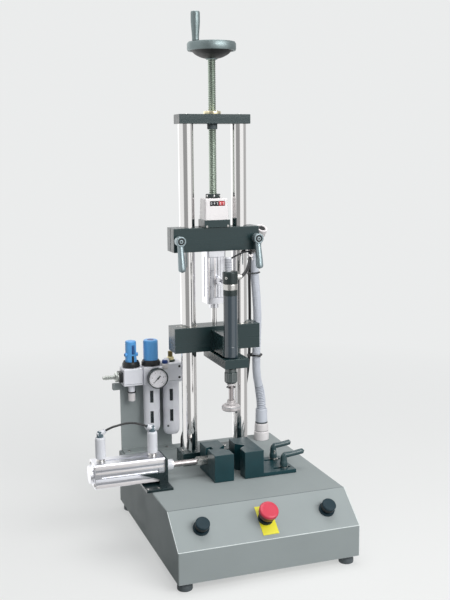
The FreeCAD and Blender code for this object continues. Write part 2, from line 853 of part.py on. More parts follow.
def make_jaw_left():
    jaw = chamfered_block(left_jaw_back, left_jaw_face, jaw_front, jaw_front + jaw_length,
                          body_gap, jaw_height)
    jaw = jaw.cut(notch(left_jaw_face, notch_depth, jaw_height))
    floor = clamp_axis_z - coupler_head_radius - slot_gap
    neck_half = coupler_neck_radius + slot_gap
    head_half = coupler_head_radius + slot_gap
    neck_end = left_jaw_back + coupler_neck_length - slot_gap
    neck_slot = block(left_jaw_back, neck_end + 1.0, clamp_axis_y - neck_half, clamp_axis_y + neck_half,
                      floor, jaw_height)
    head_slot = block(neck_end, neck_end + coupler_head_length + slot_gap, clamp_axis_y - head_half,
                      clamp_axis_y + head_half, floor, jaw_height)
    return jaw.cut(neck_slot).cut(head_slot)


def make_jaw_right():
    jaw = chamfered_block(right_jaw_face, right_jaw_back, jaw_front, jaw_front + jaw_length,
                          body_gap, jaw_height)
    jaw = jaw.cut(notch(right_jaw_face, -notch_depth, jaw_height))
    plate = chamfered_block(right_jaw_back, right_jaw_back + foot_plate_length, jaw_front,
                            jaw_front + foot_plate_width, body_gap, foot_plate_thickness)
    slot_radius = stud_radius + slot_gap
    for y in (stud_front_y, stud_rear_y):
        start = right_jaw_back + slot_start + slot_radius
        end = right_jaw_back + slot_end - slot_radius
        slot = block(start, end, y - slot_radius, y + slot_radius, 0, foot_plate_thickness)
        for x in (start, end):
            slot = slot.fuse(rod(slot_radius, foot_plate_thickness, V(x, y, 0)))
        plate = plate.cut(slot)
    return group([jaw, plate])


def make_lever_studs():
    studs = []
    for y in (stud_front_y, stud_rear_y):
        shank_length = sheet + foot_plate_thickness + hand_lever_hub_height - 4.0
        shank = rod(stud_radius, shank_length, V(stud_x, y, -sheet))
        nut = hexagon(2 * stud_radius, 1.5 * stud_radius, V(stud_x, y, -sheet - 1.5 * stud_radius))
        washer = rod(washer_radius, washer_height, V(stud_x, y, foot_plate_thickness + body_gap))
        studs.append(shank.fuse(nut).fuse(washer))
    return group(studs)


def make_hand_lever(y, turn):
    """Clamping lever on a stud: hub, and an arm that rises to the right."""
    hub_z = foot_plate_thickness + washer_height + 2 * body_gap
    hub = rod(hand_lever_hub_radius, hand_lever_hub_height, V(stud_x, y, hub_z))
    arm_z = hub_z + hand_lever_hub_height - hand_lever_arm_root_radius - 1.0
    flat = math.cos(math.radians(turn))
    side = math.sin(math.radians(turn))
    direction = V(flat * hand_lever_arm_length, side * hand_lever_arm_length, hand_lever_arm_rise)
    root = V(stud_x, y, arm_z)
    arm = cone(hand_lever_arm_root_radius, hand_lever_arm_tip_radius, direction.Length, root, direction)
    tip = Part.makeSphere(hand_lever_arm_tip_radius, root.add(direction))
    lever = hub.fuse(arm).fuse(tip)
    depth = hand_lever_hub_height - 4.0
    return lever.cut(rod(stud_radius + fit_gap, depth, V(stud_x, y, hub_z)))


# Spindle and handwheel
def make_spindle():
    bottom = clamp_bar_top - collar_floor + fit_gap
    shaft = rod(spindle_radius, spindle_top_z - bottom, V(0, column_y, bottom))
    collar = rod(collar_radius, collar_height, V(0, column_y, bottom))
    sleeve = rod(indicator_sleeve_radius, indicator_top - indicator_z - indicator_wall,
                 V(0, column_y, indicator_z + indicator_wall))
    ring = rod(indicator_ring_radius, indicator_ring_height, V(0, column_y, indicator_top + body_gap))
    return shaft.fuse(collar).fuse(sleeve).fuse(ring)


def make_handwheel():
    bore = spindle_radius + fit_gap / 2
    rim_inner = wheel_radius - wheel_rim_width
    web_low = wheel_hub_z + 4.0
    profile = [(bore, wheel_hub_z), (wheel_hub_radius, wheel_hub_z), (wheel_hub_radius, web_low),
               (rim_inner - 1.0, wheel_rim_z + 1.0), (rim_inner, wheel_rim_z), (wheel_radius, wheel_rim_z),
               (wheel_radius, wheel_rim_z + wheel_rim_height), (rim_inner, wheel_rim_z + wheel_rim_height),
               (rim_inner - 1.0, wheel_rim_z + 1.0 + wheel_web_thickness),
               (wheel_hub_radius, web_low + wheel_web_thickness),
               (wheel_hub_radius, wheel_hub_z + wheel_hub_height), (bore, wheel_hub_z + wheel_hub_height)]
    wheel = turned(profile, V(0, column_y, 0))
    rings = [e for e in wheel.Edges if e.Curve.TypeId == "Part::GeomCircle"]
    rim = [e for e in rings if e.Curve.Radius > wheel_radius - 0.01]
    wheel = wheel.makeFillet(wheel_rim_rounding, rim)
    boss_z = wheel_rim_z + 2.0
    boss = rod(crank_boss_radius, crank_z - 0.5 - boss_z, V(crank_x, crank_y, boss_z))
    pin = rod(crank_pin_radius, crank_length - 8.0, V(crank_x, crank_y, crank_z - 1.0))
    return wheel.fuse(boss).fuse(pin)


def make_crank_handle():
    profile = [(crank_pin_radius + fit_gap, 0), (crank_bottom_radius, 0), (crank_bottom_radius, 3.0),
               (crank_bottom_radius - 0.6, 5.0), (crank_top_radius, crank_length * 0.55),
               (crank_top_radius, crank_length - 1.5), (crank_top_radius - 1.5, crank_length),
               (0, crank_length), (0, crank_length - 6.0), (crank_pin_radius + fit_gap, crank_length - 6.0)]
    return turned(profile, V(crank_x, crank_y, crank_z))


# Carriage
def make_clamp_crossbar():
    front = column_y - clamp_bar_reach
    rear = column_y + clamp_bar_reach
    bar = chamfered_block(-clamp_bar_half, clamp_bar_half, front, rear, clamp_bar_z, clamp_bar_top)
    cuts = []
    for x in column_xs:
        cuts.append(rod(column_radius + fit_gap, clamp_bar_height, V(x, column_y, clamp_bar_z)))
        end = math.copysign(clamp_bar_half, x)
        cuts.append(block(min(x, end), max(x, end), column_y - clamp_slit / 2, column_y + clamp_slit / 2,
                          clamp_bar_z, clamp_bar_top))
    for x in (-lever_stud_x, lever_stud_x):
        cuts.append(rod(lever_stud_radius + fit_gap, lever_stud_seat + 2.0,
                        V(x, front, clamp_bar_z + clamp_bar_height / 2), V(0, 1, 0)))
    cuts.append(rod(collar_radius + body_gap, collar_floor, V(0, column_y, clamp_bar_top - collar_floor)))
    return bar.cut(group(cuts))


def make_bar_lever(x):
    """Clamping lever on the bar's front: stud, boss and an arm that hangs down."""
    axis_z = clamp_bar_z + clamp_bar_height / 2
    outer_end = V(x, column_y - clamp_bar_reach - lever_boss_length, axis_z)
    boss = rod(lever_boss_radius, lever_boss_length - body_gap, outer_end, V(0, 1, 0))
    stud = rod(lever_stud_radius, lever_boss_length + lever_stud_seat, outer_end, V(0, 1, 0))
    root = outer_end.add(V(0, lever_boss_length * 0.4, 0))
    lean = math.radians(lever_arm_tilt)
    direction = V(math.copysign(0.03, x), -math.sin(lean), -math.cos(lean)) * lever_arm_length
    arm = cone(lever_arm_root_radius, lever_arm_tip_radius, direction.Length, root, direction)
    tip = Part.makeSphere(lever_arm_tip_radius, root.add(direction))
    return boss.fuse(stud).fuse(arm).fuse(tip)


def make_indicator_base():
    half = indicator_width / 2 + indicator_base_margin
    front = column_y - indicator_front - indicator_base_margin
    base = chamfered_block(-half, half, front, front + indicator_depth + 2 * indicator_base_margin,
                           clamp_bar_top, indicator_z)
    spigot_height = collar_floor - collar_height - 4 * fit_gap
    spigot = rod(collar_radius, spigot_height, V(0, column_y, clamp_bar_top - spigot_height))
    return base.fuse(spigot).cut(rod(spindle_radius + fit_gap, indicator_base_height + spigot_height,
                                     V(0, column_y, clamp_bar_top - spigot_height)))


def indicator_loft(inset, bottom, top):
    """Housing that narrows a little towards its rounded top."""
    half = indicator_width / 2 - inset
    front = column_y - indicator_front + inset
    rear = column_y - indicator_front + indicator_depth - inset
    step = indicator_taper * (top - bottom) / indicator_height
    points = [(-half, bottom), (half, bottom), (half - step / 2, top), (-half + step / 2, top)]
    solid = prism([V(x, front, z) for x, z in points], V(0, rear - front, 0))
    slant = [V(-half, front, bottom), V(-half, front + step, top), V(-half, front, top)]
    wedge = prism(slant, V(2 * half, 0, 0))
    return solid.cut(wedge)


def make_indicator_housing():
    outer = indicator_loft(0, indicator_z, indicator_top)
    soft = edges_where(outer, lambda p, d: p.z > indicator_z + 0.5)
    outer = outer.makeFillet(3.0, soft)
    inner = indicator_loft(indicator_wall, indicator_z, indicator_top - indicator_wall)
    window_top = indicator_top - window_drop
    window = block(window_x - window_width / 2, window_x + window_width / 2, column_y - indicator_front - 5.0,
                   column_y - indicator_front + 8.0, window_top - window_height, window_top)
    bore = rod(indicator_sleeve_radius + body_gap, indicator_height, V(0, column_y, indicator_z))
    return outer.cut(inner).cut(window).cut(bore)


def make_lift_cylinder():
    pieces = air_cylinder(lift_length, lift_profile, lift_bore, lift_rod_radius, lift_gland_radius,
                          lift_gland_height)
    place = FreeCAD.Placement(V(0, column_y, clamp_bar_z), FreeCAD.Rotation(V(1, 0, 0), 180))
    for piece in pieces:
        piece.Placement = place.multiply(piece.Placement)
    front = column_y - lift_profile / 2
    port = tube(lift_port_radius, lift_port_bore, lift_port_length - profile_groove_depth,
                V(lift_port_x, front - lift_port_length, lift_port_z), V(0, 1, 0))
    port = port.fuse(rod(lift_port_radius * 0.8, profile_groove_depth + 1.0,
                         V(lift_port_x, front - profile_groove_depth - 1.0, lift_port_z), V(0, 1, 0)))
    pieces.append(port)
    return group(pieces)


def make_lift_rod():
    bottom = slide_bar_top - lift_rod_seat
    shaft = rod(lift_rod_radius, lift_piston_z - bottom, V(0, column_y, bottom))
    return shaft.fuse(rod(lift_bore, piston_length, V(0, column_y, lift_piston_z)))


# Head
def make_slide_crossbar():
    bar = chamfered_block(-slide_bar_half, slide_bar_half, column_y - slide_bar_reach,
                          column_y + slide_bar_reach, slide_bar_z, slide_bar_top)
    holes = [rod(bush_radius, slide_bar_height, V(x, column_y, slide_bar_z)) for x in column_xs]
    holes.append(rod(lift_rod_radius + fit_gap, lift_rod_seat, V(0, column_y, slide_bar_top - lift_rod_seat)))
    return bar.cut(group(holes))


def make_slide_bushes():
    bushes = []
    for x in column_xs:
        for z in (slide_bar_z, slide_bar_top - bush_length):
            bushes.append(tube(bush_radius - fit_gap, column_radius + fit_gap, bush_length,
                               V(x, column_y, z)))
    return group(bushes)


def make_nose_block():
    """Saddle between the slide crossbar and the back of the driver."""
    bottom = slide_bar_z + nose_block_drop
    saddle = block(head_x - nose_block_width / 2, head_x + nose_block_width / 2, head_y,
                   column_y - slide_bar_reach, bottom, bottom + nose_block_height)
    return saddle.cut(rod(driver_radius + fit_gap, nose_block_height, V(head_x, head_y, bottom)))


def make_support_plate():
    front = head_y - support_front_margin
    plate = chamfered_block(head_x - support_left, head_x + support_right, front,
                            column_y + slide_bar_reach - 2.0, support_bottom, slide_bar_z)
    return plate.cut(rod(driver_nose_radius + fit_gap, support_thickness, V(head_x, head_y, support_bottom)))


def make_driver_body():
    body = rod(driver_radius, driver_height, V(head_x, head_y, slide_bar_z))
    nose = rod(driver_nose_radius, support_thickness + driver_nut_gap,
               V(head_x, head_y, support_bottom - driver_nut_gap))
    inlet = rod(driver_block_radius, driver_block_height, V(head_x, head_y, driver_block_z))
    port_start = V(head_x + driver_block_radius - 1.0, head_y, driver_port_z)
    side_port = rod(hose_radius + 2.0, 10.0, port_start, V(1, 0, 0))
    silencer = rod(silencer_radius, silencer_height, V(silencer_x, head_y, driver_block_top))
    return body.fuse(nose).fuse(inlet).fuse(side_port).fuse(silencer)


def make_driver_nut():
    """Knurled nut with a narrower collar at its top."""
    bore = shaft_radius + 1.0
    step = driver_nut_height - driver_nut_collar
    outer = driver_nut_radius
    height = driver_nut_height
    profile = [(bore, 0), (outer - 3.0, 0), (outer, 3.0), (outer, step - 1.0), (outer - 1.5, step),
               (outer - 1.5, height - 1.0), (outer - 2.5, height), (bore, height)]
    return turned(profile, V(head_x, head_y, driver_nut_bottom))


def make_drive_shaft():
    inside = driver_nut_height - 4.0
    shaft = rod(shaft_radius, driver_nut_bottom + inside - shaft_bottom, V(head_x, head_y, shaft_bottom))
    ring_z = driver_nut_bottom - shaft_ring_gap - shaft_ring_height
    return shaft.fuse(rod(shaft_ring_radius, shaft_ring_height, V(head_x, head_y, ring_z)))


def make_capping_disc():
    """Disc with a coned shoulder and a hub on the shaft, and the pin that turns the cap."""
    top = disc_bottom + disc_height
    rim = disc_bottom + disc_thickness
    shoulder = rim + disc_shoulder_height
    recess_top = disc_bottom + disc_recess_depth
    profile = [(disc_recess_radius, disc_bottom), (disc_radius - 2.0, disc_bottom),
               (disc_radius, disc_bottom + 2.0), (disc_radius, rim), (disc_shoulder_radius, shoulder),
               (disc_hub_radius, shoulder + 2.0), (disc_hub_radius, top), (shaft_radius, top),
               (shaft_radius, shaft_bottom), (0, shaft_bottom), (0, recess_top),
               (disc_recess_radius, recess_top)]
    disc = turned(profile, V(head_x, head_y, 0))
    pin_bottom = V(head_x + disc_pin_offset, head_y, disc_bottom - disc_pin_length)
    pin = rod(disc_pin_radius, disc_pin_length + 2.0, pin_bottom)
    return disc.fuse(pin)


# Air unit
def unit_body(x, top):
    half = unit_body_width / 2
    return rounded_block(x - half, x + half, unit_front, bracket_y, unit_body_z, top, 3.0)


def collar(x, radius):
    return rod(radius, unit_collar_height, V(x, unit_y, unit_top))


def make_air_bracket():
    plate = block(bracket_left, bracket_right, bracket_y, bracket_y + bracket_thickness, 0, bracket_top)
    foot = block(bracket_left, bracket_right, bracket_y - bracket_foot, bracket_y, 0, bracket_thickness)
    lug_top = unit_body_z - 1.0
    lug = block(bracket_left - bracket_lug_width, bracket_left + bracket_lug_overlap,
                bracket_y - bracket_lug_depth, bracket_y + bracket_thickness,
                lug_top - bracket_lug_height, lug_top)
    return plate.fuse(foot).fuse(lug)


def make_shutoff_valve():
    body = unit_body(shutoff_x, unit_top).fuse(collar(shutoff_x, unit_collar_radius - 3.0))
    silencer = rod(unit_silencer_radius, unit_silencer_length,
                   V(shutoff_x, unit_y, unit_body_z - unit_silencer_length))
    return group([body, silencer])


def make_filter_regulator():
    body = unit_body(unit_x, unit_top).fuse(collar(unit_x, unit_collar_radius))
    return body


def make_lubricator():
    top = unit_top + oiler_head_rise
    body = unit_body(oiler_x, top)
    plug = turned([(0, 0), (oil_plug_radius + 2.5, 0), (oil_plug_radius + 2.5, 6.0), (oil_plug_radius, 8.0),
                   (oil_plug_radius, oil_plug_height), (0, oil_plug_height)], V(oiler_x, unit_y, top))
    dome_x = oiler_x - sight_dome_x
    dome_y = unit_front + sight_dome_y
    dome = rod(sight_dome_radius, sight_dome_height, V(dome_x, dome_y, top))
    ball = Part.makeSphere(sight_dome_radius - 0.5, V(dome_x, dome_y, top + sight_dome_height))
    reach = 2 * sight_dome_radius
    dome = dome.fuse(ball.cut(block(dome_x - reach, dome_x + reach, dome_y - reach, dome_y + reach,
                                    top - reach, top)))
    outlet_x = oiler_x + unit_body_width / 2 - 1.0
    outlet = rod(hose_radius + 2.5, 10.0, V(outlet_x, unit_y, outlet_z), V(1, 0, 0))
    return group([body.fuse(outlet), plug, dome])


def bowl_shape(radius, length, x):
    """Round-ended cup that hangs from a unit body."""
    straight = length - radius * 0.6
    cup = rod(radius, straight, V(x, unit_y, unit_body_z - straight))
    dome = Part.makeSphere(radius, V(x, unit_y, unit_body_z - straight))
    dome = dome.cut(block(x - radius, x + radius, unit_y - radius, unit_y + radius, unit_body_z - straight,
                          unit_body_z))
    dome = dome.cut(block(x - radius, x + radius, unit_y - radius, unit_y + radius,
                          unit_body_z - length - radius, unit_body_z - length))
    return cup.fuse(dome)


def make_bowls():
    cups = []
    for x, length in ((unit_x, filter_guard_length), (oiler_x, oiler_guard_length)):
        outer = bowl_shape(bowl_radius, length - guard_wall - 2.0, x)
        cups.append(outer.cut(bowl_shape(bowl_radius - bowl_wall, length - guard_wall - bowl_wall - 4.0, x)))
    return group(cups)


def make_bowl_guards():
    guards = []
    for x, length in ((unit_x, filter_guard_length), (oiler_x, oiler_guard_length)):
        guard = bowl_shape(guard_radius, length, x)
        guard = guard.cut(bowl_shape(guard_radius - guard_wall, length - guard_wall, x))
        upper = unit_body_z - guard_slot_drop
        for top in (upper, upper - guard_slot_pitch):
            for turn in range(4):
                slot = block(x - guard_slot_width / 2, x + guard_slot_width / 2, unit_y - guard_radius - 1.0,
                             unit_y - guard_radius / 2, top - guard_slot_length, top)
                slot.rotate(V(x, unit_y, 0), V(0, 0, 1), guard_slot_turn + 90 * turn)
                guard = guard.cut(slot)
        guards.append(guard)
    return group(guards)


def make_knob(x, radius, height):
    base = unit_top + unit_collar_height + body_gap
    return turned([(0, 0), (radius - 1.0, 0), (radius, 1.5), (radius * 0.97, height - 3.0),
                   (radius * 0.97 - 3.0, height), (0, height)], V(x, unit_y, base))


def make_gauge_case():
    axis = V(0, 1, 0)
    front = V(gauge_x, gauge_front, gauge_z)
    rear = V(gauge_x, gauge_front + gauge_depth, gauge_z)
    case = rod(gauge_radius, gauge_depth, front, axis)
    case = case.cut(rod(gauge_radius - gauge_wall, gauge_depth - gauge_floor, front, axis))
    stem = rod(gauge_stem_radius, unit_front - rear.y, rear, axis)
    pivot = rod(needle_pivot_radius, 3.0, V(gauge_x, dial_y - 3.0, gauge_z), axis)
    glass_front = V(gauge_x, gauge_front + 1.0, gauge_z)
    glass = rod(gauge_radius - gauge_wall, gauge_glass_thickness, glass_front, axis)
    return group([case.fuse(stem).fuse(pivot), glass])


def make_gauge_needle():
    """Pointer on the gauge's own pivot, resting at the zero at the lower left of the dial."""
    y = dial_y - 3.0 - body_gap
    hub = tube(3.5, needle_pivot_radius / 2, 1.0, V(gauge_x, y - 1.0, gauge_z), V(0, 1, 0))
    half = needle_width / 2
    blade = prism([V(gauge_x - half, y - 0.8, gauge_z + 3.0), V(gauge_x, y - 0.8, gauge_z + needle_length),
                   V(gauge_x + half, y - 0.8, gauge_z + 3.0)], V(0, 0.6, 0))
    tail = block(gauge_x - half, gauge_x + half, y - 0.8, y - 0.2, gauge_z - needle_length / 2, gauge_z - 3.0)
    needle = hub.fuse(blade).fuse(tail)
    needle.rotate(V(gauge_x, y, gauge_z), V(0, 1, 0), needle_zero)
    return needle


def make_air_inlet():
    axis = V(-1, 0, 0)
    body_left = shutoff_x - unit_body_width / 2
    half = inlet_block
    port = rounded_block(body_left - inlet_block, body_left, unit_y - half, unit_y + half, inlet_z - half,
                         inlet_z + half, 1.5)
    nut_start = body_left - inlet_block
    nut = hexagon(inlet_nut_radius, inlet_nut_length, V(nut_start, unit_y, inlet_z), axis)
    profile = [(0, 0), (barb_radius, 0)]
    for rib in range(barb_rib_count):
        low = 2.0 + rib * barb_rib_pitch
        profile += [(barb_radius, low), (barb_rib_radius, low), (barb_radius, low + barb_rib_pitch - 1.0)]
    end = 2.0 + barb_rib_count * barb_rib_pitch + barb_tip_length
    profile += [(barb_radius, end), (0, end)]
    barb = turned(profile, V(nut_start - inlet_nut_length, unit_y, inlet_z), axis)
    fitting = nut.fuse(barb)
    bore = rod(barb_radius - 1.5, inlet_nut_length + end, V(nut_start, unit_y, inlet_z), axis)
    return group([port, fitting.cut(bore)])


# Controls
def make_control_collars():
    hole = button_stem_radius + body_gap
    collars = []
    for x in (-button_x, button_x):
        ring = tube(button_collar_radius, hole, button_collar_height, V(0, 0, 0))
        neck = tube(control_hole_radius - slot_gap, hole, 2 * sheet, V(0, 0, -2 * sheet))
        collars.append(on_slope(ring.fuse(neck), x))
    ring = tube(button_collar_radius - 1.0, hole, stop_collar_height, V(0, 0, stop_plate_thickness))
    neck = tube(control_hole_radius - slot_gap, hole, 2 * sheet + stop_plate_thickness, V(0, 0, -2 * sheet))
    collars.append(on_slope(ring.fuse(neck), 0))
    return group(collars)


def mushroom(radius, cap_height, lift):
    """Push head: a stem and a rounded cap whose underside stands above the panel."""
    stem = rod(button_stem_radius, lift + 2 * sheet + 2.0, V(0, 0, -2 * sheet - 2.0))
    top = lift + cap_height
    cap = turned([(0, lift), (radius - 1.0, lift), (radius, lift + 1.5), (radius, lift + cap_height * 0.45),
                  (radius * 0.9, lift + cap_height * 0.75), (radius * 0.6, top), (0, top)], V(0, 0, 0))
    return stem.fuse(cap)


def make_start_button(x):
    return on_slope(mushroom(button_radius, button_cap_height, button_lift), x)


def make_stop_stem():
    return on_slope(rod(button_stem_radius, stop_lift + 2 * sheet + 2.0, V(0, 0, -2 * sheet - 2.0)), 0)


def make_stop_head():
    radius = stop_radius
    top = stop_cap_height
    cap = turned([(0, 0), (radius - 1.5, 0), (radius, 2.0), (radius, top * 0.5), (radius * 0.92, top * 0.78),
                  (radius * 0.7, top), (0, top)], V(0, 0, stop_lift + fit_gap))
    return on_slope(cap, 0)


def make_stop_plate():
    half = stop_plate_width / 2
    length = stop_plate_length / 2
    plate = block(-half, half, -length, length, 0, stop_plate_thickness)
    return on_slope(plate.cut(rod(control_hole_radius, stop_plate_thickness, V(0, 0, 0))), 0)


def make_control_valves():
    """Contact blocks behind the controls, and the valve block and logic module on the floor pan."""
    half = contact_block_size / 2
    top = -2 * sheet - button_travel - stop_travel
    pieces = []
    for x in (-button_x, 0, button_x):
        body = block(-half, half, -half, half, top - contact_block_depth, top)
        ear = tube(half, control_hole_radius + 1.0, -sheet - top, V(0, 0, top))
        pieces.append(on_slope(body.fuse(ear), x))
    floor = floor_z + sheet
    front = column_y - manifold_reach
    rear = front + manifold_depth
    valves = block(-manifold_width / 2, manifold_width / 2, front, rear, floor, floor + manifold_height)
    for i in range(valve_count):
        x = valve_pitch * (i - (valve_count - 1) / 2)
        valve = rounded_block(x - valve_width / 2, x + valve_width / 2, front + 5.0, rear - 5.0,
                              floor + manifold_height - 1.0, floor + manifold_height + valve_height, 2.0)
        valves = valves.fuse(valve)
    pieces.append(valves)
    pieces.append(rounded_block(logic_module_x, logic_module_x + logic_module_width, front - 5.0, rear + 5.0,
                                floor, floor + logic_module_height, 3.0))
    return group(pieces)


# Glands, hoses and the conduit
riser_top = clamp_bar_z - union_length
union_z = clamp_bar_z - union_length / 2
driver_port_z = driver_block_z + driver_block_height / 2
driver_port_x = head_x + driver_block_radius + 9.0
union_approach = V(0.52, 0.854, 0)
silencer_exit = V(0.6, 0.8, 0)


def union_end(x, distance):
    """A point on a hose's straight run into a union under the bar, this far from its side."""
    point = V(x, head_union_y, union_z).sub(union_approach * (union_radius + distance))
    return (point.x, point.y, point.z)


def silencer_start(distance):
    point = V(silencer_x, head_y, silencer_top - 5.0).add(silencer_exit * (silencer_radius + distance))
    return (point.x, point.y, point.z)


# Bends of the two lines that rise to the clamp crossbar: x, y behind the columns, share of the rise.
conduit_bends = [(152, 98, 0.085), (139, 85, 0.18), (133.5, 75, 0.3), (132, 66, 0.43), (131, 58, 0.565),
                 (125.5, 52, 0.705), (118.5, 46, 0.835), (114.5, 40, 0.95)]
riser_bends = [(107, 104, 0.117), (112, 90, 0.24), (115, 78, 0.36), (114.5, 69, 0.49), (112, 61, 0.62),
               (108.5, 53, 0.75), (101.5, 37, 0.855)]


def risen(bends, low, high):
    return [(x, column_y + y, low + share * (high - low)) for x, y, share in bends]


conduit_route = [(conduit_x, conduit_y, gland_top), (conduit_x, conduit_y, conduit_straight_z)]
conduit_route += risen(conduit_bends, conduit_straight_z, clamp_bar_z)
conduit_route += [(clamp_bar_half + 19, column_y + 29, clamp_bar_z + 14),
                  (clamp_bar_half + clip_reach, column_y + 20, clamp_bar_z + clip_rise)]
riser_route = [(riser_grommet_x, riser_grommet_y, grommet_height),
               (riser_grommet_x, riser_grommet_y, riser_straight)]
riser_route += risen(riser_bends, riser_straight, riser_top)
riser_route += [(riser_union_x, riser_union_y, riser_top - 20), (riser_union_x, riser_union_y, riser_top)]
inlet_hose_route = [(driver_port_x, head_y, driver_port_z), (driver_port_x + 18, head_y, driver_port_z),
                    (62, column_y - 94, clamp_bar_z - 40), (72, column_y - 73, clamp_bar_z - 24),
                    (76, column_y - 50, clamp_bar_z - 11), union_end(inlet_union_x, 16),
                    union_end(inlet_union_x, 0)]
exhaust_hose_route = [silencer_start(0), silencer_start(22), (38, column_y - 66, clamp_bar_z - 4),
                      (60, column_y - 52, clamp_bar_z), union_end(exhaust_union_x, 20),
                      union_end(exhaust_union_x, 0)]
link_route = [tuple(elbow_tip(valve_left_x, 1, 0)), tuple(elbow_tip(valve_left_x, 1, 14)),
              (valve_left_x + 40, clamp_axis_y + 2, clamp_top + 79.5),
              (valve_left_x + 57, clamp_axis_y + 3, clamp_top + 82.5),
              (valve_left_x + 74, clamp_axis_y + 2, clamp_top + 80),
              tuple(elbow_tip(valve_right_x, -1, 14)), tuple(elbow_tip(valve_right_x, -1, 0))]
feed_start = oiler_x + unit_body_width / 2 + 9
feed_route = [(feed_start, unit_y, outlet_z), (feed_start + 11, unit_y, outlet_z),
              (feed_start + 20, unit_y - 1, outlet_z - 7), (feed_start + 24, unit_y - 2, outlet_z - 21),
              (feed_start + 22, unit_y - 4, outlet_z - 40), (feed_start + 18, unit_y - 8, 118),
              (feed_start + 9, unit_y - 13, 86), (feed_start, unit_y - 19, 58),
              (feed_grommet_x + 1, feed_grommet_y + 0.5, 34), (feed_grommet_x, feed_grommet_y, 20),
              (feed_grommet_x, feed_grommet_y, grommet_height)]


def make_service_lines():
    """Corrugated conduit and the air hose tied to it, from the deck up to the carriage."""
    return group([hose("conduit", conduit_route, conduit_radius),
                  hose("riser hose", riser_route, hose_radius)])


def make_head_hoses():
    return group([hose("inlet hose", inlet_hose_route, hose_radius),
                  hose("exhaust hose", exhaust_hose_route, thin_hose_radius)])


def make_clamp_tubes():
    return group([hose("link tube", link_route, thin_hose_radius),
                  hose("feed hose", feed_route, hose_radius)])


def make_deck_glands():
    gland = rod(gland_radius, gland_height, V(conduit_x, conduit_y, 0))
    neck = rod(gland_neck_radius, gland_neck_height, V(conduit_x, conduit_y, gland_height))
    spigot = rod(gland_neck_radius - sheet - slot_gap, 4 * sheet, V(conduit_x, conduit_y, -4 * sheet))
    sleeve = tube(conduit_sleeve_radius, conduit_radius + 1.5, conduit_sleeve_height,
                  V(conduit_x, conduit_y, gland_top))
    pieces = [gland.fuse(neck).fuse(spigot).fuse(sleeve)]
    for x, y in ((riser_grommet_x, riser_grommet_y), (feed_grommet_x, feed_grommet_y)):
        grommet = cone(grommet_radius, hose_radius + 1.5, grommet_height, V(x, y, 0))
        pieces.append(grommet.fuse(rod(hose_radius + sheet - slot_gap, 2 * sheet, V(x, y, -2 * sheet))))
    return group(pieces)


def make_conduit_clip():
    """Band round the conduit's upper end on the bar's end face, and the unions under the bar."""
    end = V(*conduit_route[-1])
    axis = end.sub(V(*conduit_route[-2]))
    axis.normalize()
    base = end.sub(axis * clip_width)
    band = rod(conduit_radius + clip_wall, clip_width, base, axis)
    arm = block(clamp_bar_half, end.x, end.y - 5.0, end.y + 5.0, end.z - clip_width - 4.0, end.z - 4.0)
    bore = rod(conduit_radius + fit_gap, 2 * clip_width, base.sub(axis * clip_width / 2), axis)
    pieces = [band.fuse(arm).cut(bore)]
    unions = ((riser_union_x, riser_union_y), (inlet_union_x, head_union_y), (exhaust_union_x, head_union_y))
    for x, y in unions:
        pieces.append(rod(union_radius, union_length, V(x, y, riser_top)))
    return group(pieces)


nodes = {
    "cabinet_shell": make_cabinet_shell,
    "floor_pan": make_floor_pan,
    "rubber_feet": make_rubber_feet,
    "fixing_screws": make_fixing_screws,
    "column_beam": make_column_beam,
    "column_base_bar": make_column_base_bar,
    "guide_columns": make_guide_columns,
    "top_crossbar": make_top_crossbar,
    "spindle_nut": make_spindle_nut,
    "clamp_cylinder": make_clamp_cylinder,
    "clamp_foot_bracket": make_clamp_foot,
    "flow_valves": make_flow_valves,
    "clamp_tubes": make_clamp_tubes,
    "lever_studs": make_lever_studs,
    "air_bracket": make_air_bracket,
    "shutoff_valve": make_shutoff_valve,
    "filter_regulator": make_filter_regulator,
    "lubricator": make_lubricator,
    "bowls": make_bowls,
    "bowl_guards": make_bowl_guards,
    "gauge_case": make_gauge_case,
    "air_inlet": make_air_inlet,
    "deck_glands": make_deck_glands,
    "service_lines": make_service_lines,
    "control_collars": make_control_collars,
    "stop_plate": make_stop_plate,
    "control_valves": make_control_valves,
    "start_button_left": lambda: make_start_button(-button_x),
    "start_button_right": lambda: make_start_button(button_x),
    "stop_stem": make_stop_stem,
    "stop_head": make_stop_head,
    "shutoff_knob": lambda: make_knob(shutoff_x, shutoff_knob_radius, shutoff_knob_height),
    "regulator_knob": lambda: make_knob(unit_x, regulator_knob_radius, regulator_knob_height),
    "gauge_needle": make_gauge_needle,
    "jaw_left": make_jaw_left,
    "clamp_rod": make_clamp_rod,
    "rod_coupler": make_rod_coupler,
    "jaw_right": make_jaw_right,
    "plate_lever_front": lambda: make_hand_lever(stud_front_y, -2.0),
    "plate_lever_rear": lambda: make_hand_lever(stud_rear_y, 14.0),
    "clamp_crossbar": make_clamp_crossbar,
    "indicator_base": make_indicator_base,
    "indicator_housing": make_indicator_housing,
    "lift_cylinder": make_lift_cylinder,
    "crossbar_lever_left": lambda: make_bar_lever(-lever_stud_x),
    "crossbar_lever_right": lambda: make_bar_lever(lever_stud_x),
    "conduit_clip": make_conduit_clip,
    "spindle": make_spindle,
    "handwheel": make_handwheel,
    "crank_handle": make_crank_handle,
    "slide_crossbar": make_slide_crossbar,
    "slide_bushes": make_slide_bushes,
    "nose_block": make_nose_block,
    "support_plate": make_support_plate,
    "driver_body": make_driver_body,
    "driver_nut": make_driver_nut,
    "lift_rod": make_lift_rod,
    "head_hoses": make_head_hoses,
    "drive_shaft": make_drive_shaft,
    "capping_disc": make_capping_disc,
}

